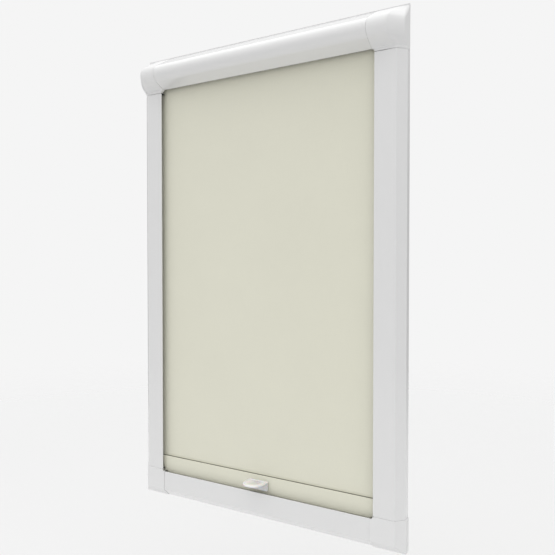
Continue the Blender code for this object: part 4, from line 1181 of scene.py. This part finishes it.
def shelf_form(settings):
    """The pull's shelf: half-elliptic, dished, with a raised round rim.

    Each section runs from the middle of the plate's face out to the rim: along the dished top, round the
    rim's bead and back along the underside. The sections fan out over a half turn.
    """
    half = (PULL_HIGH[0] - PULL_LOW[0]) / 2
    face_y, top = PULL_HIGH[1] - PLATE_THICKNESS, PULL_HIGH[2]
    reach = face_y - PULL_LOW[1] + settings.pull_overreach
    bead, dish = settings.pull_bead, settings.pull_dish
    share = np.linspace(0, 1, 14)
    top_z = -dish * np.cos(share * math.pi / 2) ** 2 - 0.0002
    roll = np.linspace(math.pi * 0.75, -math.pi / 2, 12)
    under = np.linspace(1, 0, 12)
    under_z = -SHELF_THICKNESS - dish * 0.8 * np.cos(under * math.pi / 2) ** 2
    section_r = np.concatenate([share[:-1], np.ones(12), under[1:]])
    section_in = np.concatenate([np.full(13, bead * 1.6), bead - bead * np.cos(roll), np.full(11, bead)])
    section_z = np.concatenate([top_z[:-1], -bead + bead * np.sin(roll), under_z[1:]])
    angle = np.linspace(math.pi * 1.0, 2 * math.pi, 49)
    full = 2 / settings.pull_fullness
    out_x = half * (np.sign(np.cos(angle)) * np.abs(np.cos(angle)) ** full)[:, None]
    out_y = -reach * (np.abs(np.sin(angle)) ** full)[:, None]
    length = np.hypot(out_x, out_y)
    shrink = np.maximum(length - section_in, 0) / length * section_r
    x, y = out_x * shrink, face_y + out_y * shrink
    z = top + section_z
    z = z + settings.pull_rise * np.clip((face_y - y) / reach, 0, 1) ** 1.5
    points = np.stack([x, y, z], -1)
    rings = points.shape[1]
    faces = grid_faces(len(angle), rings).tolist()
    return points.reshape(-1, 3), faces + end_faces(len(angle), rings)


def build_handle(settings):
    """The pull: a rounded plate and the dished shelf, fused and blended like a moulding."""
    low, high = PULL_LOW, PULL_HIGH
    face_y = high[1] - PLATE_THICKNESS
    corner = settings.pull_corner
    lower = [(low[0], low[2], corner), (high[0], low[2], corner)]
    upper = [(high[0], high[2], PLATE_TOP_RADIUS), (low[0], high[2], PLATE_TOP_RADIUS)]
    plate = swept(rounded(lower + upper), at_y, face_y, high[1], PLATE_EDGE)
    points, faces = shelf_form(settings)
    made = put("pull", plate)
    made = merged(made, put("shelf", (points + (0, SHELF_SUNK, 0), faces)))
    step = made.modifiers.new("fuse", "REMESH")
    step.mode = "VOXEL"
    step.voxel_size = settings.pull_voxel
    step = made.modifiers.new("blend", "CORRECTIVE_SMOOTH")
    step.factor = 0.5
    step.iterations = 6
    step.use_only_smooth = True
    bake(made)
    smooth(made, 180)
    fit(made, "pull_bar", "handle_plastic", "pull_handle")


# ---------------------------------------------------------------- pile seals


def tufts(along, across, root, tip, rng):
    """Pile: rows of small tapered tufts, each a four-sided spike of two lengths that leans a little.

    along gives the two ends of the middle row, across the width of the rows, and root to tip the height.
    """
    start, end = np.array(along[0], float), np.array(along[1], float)
    length = np.linalg.norm(end - start)
    count = int(length / TUFT_SPACING)
    u = (np.arange(count) + 0.5) / count
    v = (np.arange(TUFT_ROWS) + 0.5) / TUFT_ROWS
    u, v = (a.ravel() for a in np.meshgrid(u, v))
    u = u + rng.uniform(-0.3, 0.3, u.shape) / count
    run, side, up = (end - start) / length, np.array(across, float), np.array(tip, float) - root
    wide = np.linalg.norm(side)
    height = np.linalg.norm(up)
    base = start + (end - start) * u[:, None] + side * (v[:, None] - 0.5)
    lean = rng.normal(0, TUFT_LEAN, (len(u), 2)) * height
    long = rng.uniform(TUFT_SHORTEST, 1.0, len(u))[:, None]
    thick = min(TUFT_SPACING, wide / TUFT_ROWS) * TUFT_THICKNESS
    ring = np.array([(1, 0), (0, 1), (-1, 0), (0, -1)], float)
    points = []
    for share, size in TUFT_LEVELS:
        middle = base + up * share * long
        middle = middle + (run * lean[:, :1] + side / wide * lean[:, 1:]) * share**2
        spread = ring[:, :1] * run + ring[:, 1:] * side / wide
        points.append(middle[:, None] + spread[None] * thick * size)
    points = np.stack(points, 1).reshape(len(u), -1, 3)
    faces = np.concatenate([grid_faces(3, 4, wrap_columns=True), [[3, 2, 1, 0]], [[8, 9, 10, 11]]])
    steps = np.arange(len(u))[:, None, None] * points.shape[1]
    return points.reshape(-1, 3), (faces[None] + steps).reshape(-1, 4).tolist()


def build_pile(name, node, seed, depth_axis, towards, reach=0.0):
    """One pile seal in its frame node's box: a woven backing strip with tufts standing on it.

    An upright one goes on by reach at both ends, into the cap and the corner.
    """
    low, high = (end.copy() for end in span(node))
    low[2], high[2] = low[2] - reach, high[2] + reach
    rng = np.random.default_rng(seed)
    long_axis = int(np.argmax(high - low))
    wide_axis = 3 - long_axis - depth_axis
    root, tip = (low, high) if towards > 0 else (high, low)
    back = STRIP_THICKNESS * towards
    strip_low, strip_high = low.copy(), high.copy()
    if towards > 0:
        strip_high[depth_axis] = root[depth_axis] + back
    else:
        strip_low[depth_axis] = root[depth_axis] + back
    start, end = (low + high) / 2, (low + high) / 2
    start[long_axis], end[long_axis] = low[long_axis] + PILE_END, high[long_axis] - PILE_END
    start[depth_axis] = end[depth_axis] = root[depth_axis] + back * 0.8
    across = np.zeros(3)
    across[wide_axis] = (high - low)[wide_axis] * PILE_SPREAD
    base, peak = start.copy(), start.copy()
    peak[depth_axis] = tip[depth_axis]
    pile = tufts((start, end), across, base, peak, rng)
    made = put(name, combined([block(strip_low, strip_high, STRIP_EDGE), pile]))
    fit(made, "frame", "pile", node)


# ---------------------------------------------------------------- fasteners


def screw_form(place, head_at, tip_at, shank, head, height):
    """A pan-head screw: rings of (t, radius) from the head's middle to the tip.

    The head is a low dome, and its cross recess is cut where a point lies near one of two lines at right
    angles. The shank's radius follows a cosine of the angle less the turns made, which is a helix, and
    falls away at the tip.
    """
    way = math.copysign(1, tip_at - head_at)
    sides = 32
    angle = np.linspace(0, 2 * math.pi, sides, endpoint=False)
    share = np.linspace(0.06, 1, 12)
    radius = head * share
    dome = height * 0.75 * (1 - np.sqrt(np.maximum(1 - (0.9 * share) ** 2, 0)))
    arm = np.minimum(np.abs(np.cos(angle)), np.abs(np.sin(angle)))[None] * radius[:, None]
    cut = np.clip((CROSS_HALF_WIDTH * head - arm) / (0.06 * head), 0, 1)
    cut = cut * np.clip((CROSS_REACH - share[:, None]) / 0.1, 0, 1)
    top_t = head_at + way * (dome[:, None] + cut * height * 0.5)
    top_r = np.broadcast_to(radius[:, None], top_t.shape)
    length = abs(tip_at - head_at) - height
    rows = max(int(length / SCREW_PITCH * 6), 8)
    s = np.linspace(0, 1, rows)[:, None]
    thread = 0.5 + 0.5 * np.cos(angle[None] - 2 * math.pi * s * length / SCREW_PITCH)
    taper = np.clip((1 - s) * length / (2 * SCREW_PITCH), 0, 1)
    shank_r = shank * (1 - THREAD_DEPTH + THREAD_DEPTH * thread * taper)
    shank_r = shank_r * (0.5 + 0.5 * np.clip((1 - s) * 12, 0, 1))
    shank_t = np.broadcast_to(head_at + way * (height + s * length), shank_r.shape)
    under_t = np.full((1, sides), head_at + way * height)
    t = np.concatenate([top_t, under_t, shank_t])
    r = np.concatenate([top_r, np.full((1, sides), head), shank_r])
    points = place(t, r, np.broadcast_to(angle, t.shape)).reshape(-1, 3)
    faces = grid_faces(*t.shape, wrap_columns=True).tolist()
    return points, faces + end_faces(len(t), sides)


def build_screw(node, body):
    """One screw in its frame node's box: its axis is the box's longest side, its head the wider end."""
    low, high = span(node)
    size = high - low
    axis = int(np.argmax(size))
    middle = (low + high) / 2
    corners = np.array([v.co for v in frame["nodes"][node].data.vertices], float)
    offset = np.delete(corners - middle, axis, 1)
    wide = np.hypot(*offset.T)
    head = wide.max()
    head_low = corners[wide > head * 0.95, axis].mean() < middle[axis]
    head_at, tip_at = (low[axis], high[axis]) if head_low else (high[axis], low[axis])
    shank = wide[np.abs(corners[:, axis] - tip_at) < 1e-5].max()
    place = round_x(middle[1], middle[2]) if axis == 0 else round_y(middle[0], middle[2])
    made = put(node + "_fine", screw_form(place, head_at, tip_at, shank, head, SCREW_HEAD))
    fit(made, body, "steel", node)


# ---------------------------------------------------------------- roller


def build_tube():
    """The tube: a round section with three evenly spaced keyways pressed in, each a bell curve in depth."""
    outer = (TUBE_HIGH[1] - TUBE_LOW[1]) / 2
    angle = np.linspace(0, 2 * math.pi, 96, endpoint=False)
    third = 2 * math.pi / 3
    away = np.minimum(angle % third, third - angle % third)
    press = np.exp(-((away / KEYWAY_ANGLE) ** 2))
    x = np.linspace(TUBE_LOW[0], TUBE_HIGH[0], 12)
    rings = []
    for radius in (outer - KEYWAY_DEPTH * press, outer - TUBE_WALL - KEYWAY_DEPTH * press):
        y, z = ROLL_Y + radius * np.cos(angle), ROLL_Z + radius * np.sin(angle)
        rings.append(np.stack(np.broadcast_arrays(x[:, None], y[None], z[None]), -1))
    rings = np.concatenate([rings[0], rings[1][::-1]])
    faces = grid_faces(len(rings), len(angle), wrap_rows=True, wrap_columns=True)
    made = put("tube", (rings.reshape(-1, 3), faces.tolist()))
    fit(made, "roller", "aluminium", "roller_tube")


def build_spring():
    """The torsion spring: round wire carried along a helix of the frame node's size, its ends squared."""
    low, high = span("torsion_spring")
    wire, turns, steps, sides = SPRING_WIRE, SPRING_TURNS, 40, 10
    radius = (high[1] - low[1]) / 2 - wire
    s = np.linspace(0, 1, turns * steps + 1)
    turn, lift = 2 * math.pi * turns * s, low[0] + wire + (high[0] - low[0] - 2 * wire) * s
    a = np.linspace(0, 2 * math.pi, sides, endpoint=False)
    r = radius + wire * np.cos(a)[None]
    y = ROLL_Y + r * np.cos(turn)[:, None]
    z = ROLL_Z + r * np.sin(turn)[:, None]
    x = lift[:, None] + wire * np.sin(a)[None] + 0 * y
    points = np.stack([x, y, z], -1)
    faces = grid_faces(len(s), sides, wrap_columns=True).tolist() + end_faces(len(s), sides)
    made = put("spring_fine", (points.reshape(-1, 3), faces))
    fit(made, "frame", "spring_steel", "torsion_spring")


# ---------------------------------------------------------------- stage


def build_stage(settings):
    """A pale floor that fades out with distance, the studio's light, a lamp overhead and the camera."""
    scene = bpy.context.scene
    scene.view_settings.view_transform = "Standard"
    scene.view_settings.look = "None"
    floor_z = SILL_LOW[2] - settings.floor_drop
    rows, columns = 24, 64
    r = FLOOR_RADIUS * np.linspace(0.02, 1, rows)[:, None] ** 1.5
    a = np.linspace(0, 2 * math.pi, columns, endpoint=False)[None]
    points = np.stack([r * np.cos(a), r * np.sin(a), np.full((rows, columns), floor_z)], -1).reshape(-1, 3)
    faces = grid_faces(rows, columns, wrap_columns=True).tolist() + [list(range(columns))]
    floor = put("floor", (points, faces), closed=False)
    matt = bpy.data.materials.new("floor_matt")
    matt.use_nodes = True
    tree = matt.node_tree
    shader = tree.nodes["Principled BSDF"]
    shader.inputs["Base Color"].default_value = (settings.floor_tone,) * 3 + (1,)
    shader.inputs["Roughness"].default_value = 0.9
    shader.inputs["Specular IOR Level"].default_value = 0.1
    place = add(tree, "TexCoord").outputs["Object"]
    flat = add(tree, "VectorMath", {0: place, 1: (1.0, 1.0, 0.0)}, operation="MULTIPLY").outputs[0]
    away = add(tree, "VectorMath", {0: flat}, operation="LENGTH").outputs["Value"]
    near = {"Value": away, "From Min": FLOOR_FADE[0], "From Max": FLOOR_FADE[1], "To Min": 1.0, "To Max": 0.0}
    fade = add(tree, "MapRange", near, interpolation_type="SMOOTHSTEP").outputs[0]
    tree.links.new(fade, shader.inputs["Alpha"])
    floor.data.materials.append(matt)
    build_world(settings)
    build_overhead(settings.overhead_power)
    build_camera()


def build_world(settings):
    """Even studio light, brighter from above; the camera sees the plain backdrop tone instead."""
    world = bpy.data.worlds.new("studio")
    bpy.context.scene.world = world
    world.use_nodes = True
    tree = world.node_tree
    tree.nodes.clear()
    split = add(tree, "SeparateXYZ", {0: add(tree, "TexCoord").outputs["Generated"]})
    across = {"Value": split.outputs[1], "From Min": -1.0, "From Max": 1.0}
    across |= {"To Min": settings.world_front, "To Max": settings.world_back}
    rising = {"Value": split.outputs[2], "From Min": 0.0, "From Max": 1.0, "To Max": settings.world_top}
    upper = add(tree, "MapRange", rising, interpolation_type="SMOOTHSTEP").outputs[0]
    level = maths(tree, "ADD", add(tree, "MapRange", across).outputs[0], upper)
    light = add(tree, "Background", {"Color": (1.0, 1.0, 1.0, 1), "Strength": level})
    seen = add(tree, "Background", {"Color": (settings.backdrop,) * 3 + (1,), "Strength": 1.0})
    ray = add(tree, "LightPath").outputs["Is Camera Ray"]
    both = add(tree, "MixShader", {0: ray, 1: light.outputs[0], 2: seen.outputs[0]})
    out = add(tree, "OutputWorld")
    tree.links.new(both.outputs[0], out.inputs["Surface"])


def build_overhead(power):
    """A large soft lamp over the object, shining straight down and unseen itself."""
    data = bpy.data.lights.new("overhead", "AREA")
    data.shape = "RECTANGLE"
    data.size, data.size_y = LAMP_SIZE
    data.energy = power
    made = bpy.data.objects.new("overhead", data)
    made.location = LAMP_PLACE
    made.visible_camera = False
    bpy.context.scene.collection.objects.link(made)


def build_camera():
    """The camera, to the right of the object and a little above its middle."""
    data = bpy.data.cameras.new("camera")
    data.lens, data.sensor_width = CAMERA_LENS, 36.0
    made = bpy.data.objects.new("camera", data)
    made.location = CAMERA_PLACE
    made.rotation_euler = (math.radians(90 - CAMERA_DOWN), 0, math.radians(CAMERA_LEFT))
    bpy.context.scene.collection.objects.link(made)
    bpy.context.scene.camera = made


# ---------------------------------------------------------------- add-on


def number(name, text, value, **limits):
    """A plain number property."""
    return FloatProperty(name=name, description=text, default=value, **limits)


def length(name, text, value, **limits):
    """A length property in metres."""
    return number(name, text, value, unit="LENGTH", precision=5, **limits)


def colour(name, text, value):
    """A colour property."""
    limits = {"subtype": "COLOR", "size": 3, "min": 0, "max": 1}
    return FloatVectorProperty(name=name, description=text, default=value, **limits)


class BlindCasing(bpy.types.PropertyGroup):
    """Radii of the cassette, rails and corners."""

    edge_radius: length("Edge radius", "Rounding of the edges where pieces meet", 0.0003)
    lip_radius: length("Lip radius", "Rounding of the cover's lower lip", 0.0006)
    chamfer_radius: length("Chamfer radius", "Rounding along both sides of the rails' chamfer", 0.0016)
    seam_groove: length("Seam groove", "Shadow gap between the end caps and the rails", 0.0006)
    cap_front_radius: length("Cap front radius", "Rounding between the cap's front and its slant", 0.006)
    cap_side_radius: length("Cap side radius", "Rounding between the cap's slant and its side", 0.007)
    corner_radius: length("Corner radius", "Rounding of the frame's lower outer corners", 0.0015)


class BlindCloth(bpy.types.PropertyGroup):
    """Shape of the cloth."""

    ripple: length("Ripple", "Depth of the cloth's slow waviness", 0.00025)
    crease: length("Crease width", "Width of the bar's crease beside the cloth", 0.0060)
    crease_depth: length("Crease depth", "Depth of the bar's crease", 0.0032)
    taper: length("Taper", "How far the bar's front draws back at its foot", 0.0014)
    taper_height: length("Taper height", "Where the bar's front begins to draw back", 0.018)
    bar_radius: length("Bar radius", "Rounding of the cloth over the pull bar's edges", 0.0013)


class BlindPull(bpy.types.PropertyGroup):
    """Shape of the pull handle."""

    pull_bead: length("Bead radius", "Radius of the shelf's raised rim", 0.0019)
    pull_dish: length("Dish depth", "How far the shelf's top is hollowed", 0.0030)
    pull_overreach: length("Overreach", "How far the rim stands out past the frame's shelf", 0.004)
    pull_rise: length("Rise", "How far the shelf's outer rim curls up", 0.0025)
    pull_fullness: number("Fullness", "2 is an ellipse, more is squarer", 2.5, min=2)
    pull_corner: length("Plate corner", "Rounding of the plate's lower corners", 0.0015)
    pull_voxel: length("Blend step", "Grid step used to fuse the shelf and the plate", 0.0003, min=0.0001)


class BlindFinish(bpy.types.PropertyGroup):
    """Colours and weave."""

    paint: colour("Paint", "Powder coat of the cassette and rails", (0.785, 0.785, 0.785))
    plastic: colour("Plastic", "End caps and corners", (0.81, 0.81, 0.81))
    cloth: colour("Cloth", "Blackout cloth", (0.81, 0.80, 0.675))
    pull: colour("Pull", "Pull handle", (0.93, 0.93, 0.93))
    thread_pitch: length("Thread pitch", "Distance between the cloth's threads", 0.0006, min=0.0002)


class BlindStage(bpy.types.PropertyGroup):
    """Light, floor and backdrop."""

    floor_drop: length("Floor drop", "How far the floor lies below the blind", 0.35)
    floor_tone: number("Floor tone", "Grey level of the floor", 0.80, min=0, max=1)
    backdrop: number("Backdrop", "Tone of the backdrop", 0.913, min=0, max=1)
    world_front: number("Light from the front", "Ambient light, front", 0.68)
    world_back: number("Light from behind", "Ambient light, behind", 0.30)
    world_top: number("Light from above", "Ambient light added overhead", 0.84)
    overhead_power: number("Overhead", "Power of the overhead light", 4.5)


class BuildStep:
    """What the build operators share."""

    bl_options = {"REGISTER", "UNDO"}

    def execute(self, context):
        self.build(context.scene)
        return {"FINISHED"}


class BLIND_OT_stage(BuildStep, bpy.types.Operator):
    """Make the floor, lights and camera"""

    bl_idname = "blind.stage"
    bl_label = "Stage"

    def build(self, scene):
        build_stage(scene.blind_stage)


class BLIND_OT_cassette(BuildStep, bpy.types.Operator):
    """Make the cassette's cover and wall plate"""

    bl_idname = "blind.cassette"
    bl_label = "Cassette"

    def build(self, scene):
        build_cover(scene.blind_casing)
        build_back(scene.blind_casing)


class BLIND_OT_end_caps(BuildStep, bpy.types.Operator):
    """Make the cassette's two end caps"""

    bl_idname = "blind.end_caps"
    bl_label = "End caps"

    def build(self, scene):
        for side, word in SIDES:
            build_end_cap(side, word, scene.blind_casing)


class BLIND_OT_rails(BuildStep, bpy.types.Operator):
    """Make the side rails and the bottom rail"""

    bl_idname = "blind.rails"
    bl_label = "Rails"

    def build(self, scene):
        for side, word in SIDES:
            build_rail(side, word, scene.blind_casing)
        build_sill(scene.blind_casing)


class BLIND_OT_corners(BuildStep, bpy.types.Operator):
    """Make the two bottom corners"""

    bl_idname = "blind.corners"
    bl_label = "Corners"

    def build(self, scene):
        for side, word in SIDES:
            build_corner(side, word, scene.blind_casing)


class BLIND_OT_cloth(BuildStep, bpy.types.Operator):
    """Make the hanging cloth, the turn left on the roller and the bar's pocket"""

    bl_idname = "blind.cloth"
    bl_label = "Cloth"

    def build(self, scene):
        build_hanging_cloth(scene.blind_cloth)
        build_wound_cloth()
        build_bar_cloth(scene.blind_cloth)
        build_bar_core(scene.blind_cloth)


class BLIND_OT_handle(BuildStep, bpy.types.Operator):
    """Make the pull handle"""

    bl_idname = "blind.handle"
    bl_label = "Pull handle"

    def build(self, scene):
        build_handle(scene.blind_pull)


class BLIND_OT_pile(BuildStep, bpy.types.Operator):
    """Make the pile seals"""

    bl_idname = "blind.pile"
    bl_label = "Pile seals"

    def build(self, scene):
        for seed, (_, word) in enumerate(SIDES):
            build_pile(f"pile_seal_front_{word}", f"pile_front_{word}", 10 + seed, 1, 1, 0.0035)
            build_pile(f"pile_seal_rear_{word}", f"pile_rear_{word}", 20 + seed, 1, -1)
        build_pile("pile_seal_cassette", "pile_cassette", 30, 1, 1)
        build_pile("pile_seal_bottom", "pile_bottom", 40, 1, 1)


class BLIND_OT_hardware(BuildStep, bpy.types.Operator):
    """Make the roller's tube, the spring and the screws"""

    bl_idname = "blind.hardware"
    bl_label = "Hardware"

    def build(self, scene):
        build_tube()
        build_spring()
        for node in sorted(frame["nodes"]):
            if "screw" in node:
                build_screw(node, frame["nodes"][node]["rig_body"])


class BLIND_OT_finishes(BuildStep, bpy.types.Operator):
    """Give the frame's own nodes their finishes"""

    bl_idname = "blind.finishes"
    bl_label = "Finishes"

    def build(self, scene):
        slots = {part["node"]: part["material_slot"] for part in frame["record"]["subparts"]}
        for name, node in frame["nodes"].items():
            if not node.hide_render:
                node.data.materials.clear()
                node.data.materials.append(look(slots[name]))


STEPS = (
    BLIND_OT_stage,
    BLIND_OT_cassette,
    BLIND_OT_end_caps,
    BLIND_OT_rails,
    BLIND_OT_corners,
    BLIND_OT_cloth,
    BLIND_OT_handle,
    BLIND_OT_pile,
    BLIND_OT_hardware,
    BLIND_OT_finishes,
)
GROUPS = (BlindCasing, BlindCloth, BlindPull, BlindFinish, BlindStage)


class BLIND_PT_tools(bpy.types.Panel):
    """The blind's sizes, colours and build steps"""

    bl_idname = "BLIND_PT_tools"
    bl_label = "Framed roller blind"
    bl_space_type = "VIEW_3D"
    bl_region_type = "UI"
    bl_category = "Blind"

    def draw(self, context):
        for kind in GROUPS:
            settings = getattr(context.scene, setting_name(kind))
            box = self.layout.box()
            box.label(text=kind.__doc__.strip("."))
            for key in kind.__annotations__:
                box.prop(settings, key)
        for step in STEPS:
            self.layout.operator(step.bl_idname)


def setting_name(kind):
    """The scene property that holds a property group."""
    return "blind_" + kind.__name__.removeprefix("Blind").lower()


def register():
    for kind in (*GROUPS, *STEPS, BLIND_PT_tools):
        bpy.utils.register_class(kind)
    for kind in GROUPS:
        setattr(bpy.types.Scene, setting_name(kind), PointerProperty(type=kind))


def unregister():
    for kind in GROUPS:
        delattr(bpy.types.Scene, setting_name(kind))
    for kind in reversed((*GROUPS, *STEPS, BLIND_PT_tools)):
        bpy.utils.unregister_class(kind)


def main():
    """Builds every piece in order."""
    register()
    for step in STEPS:
        getattr(bpy.ops.blind, step.bl_idname.split(".")[1])()


if __name__ == "__main__":
    main()
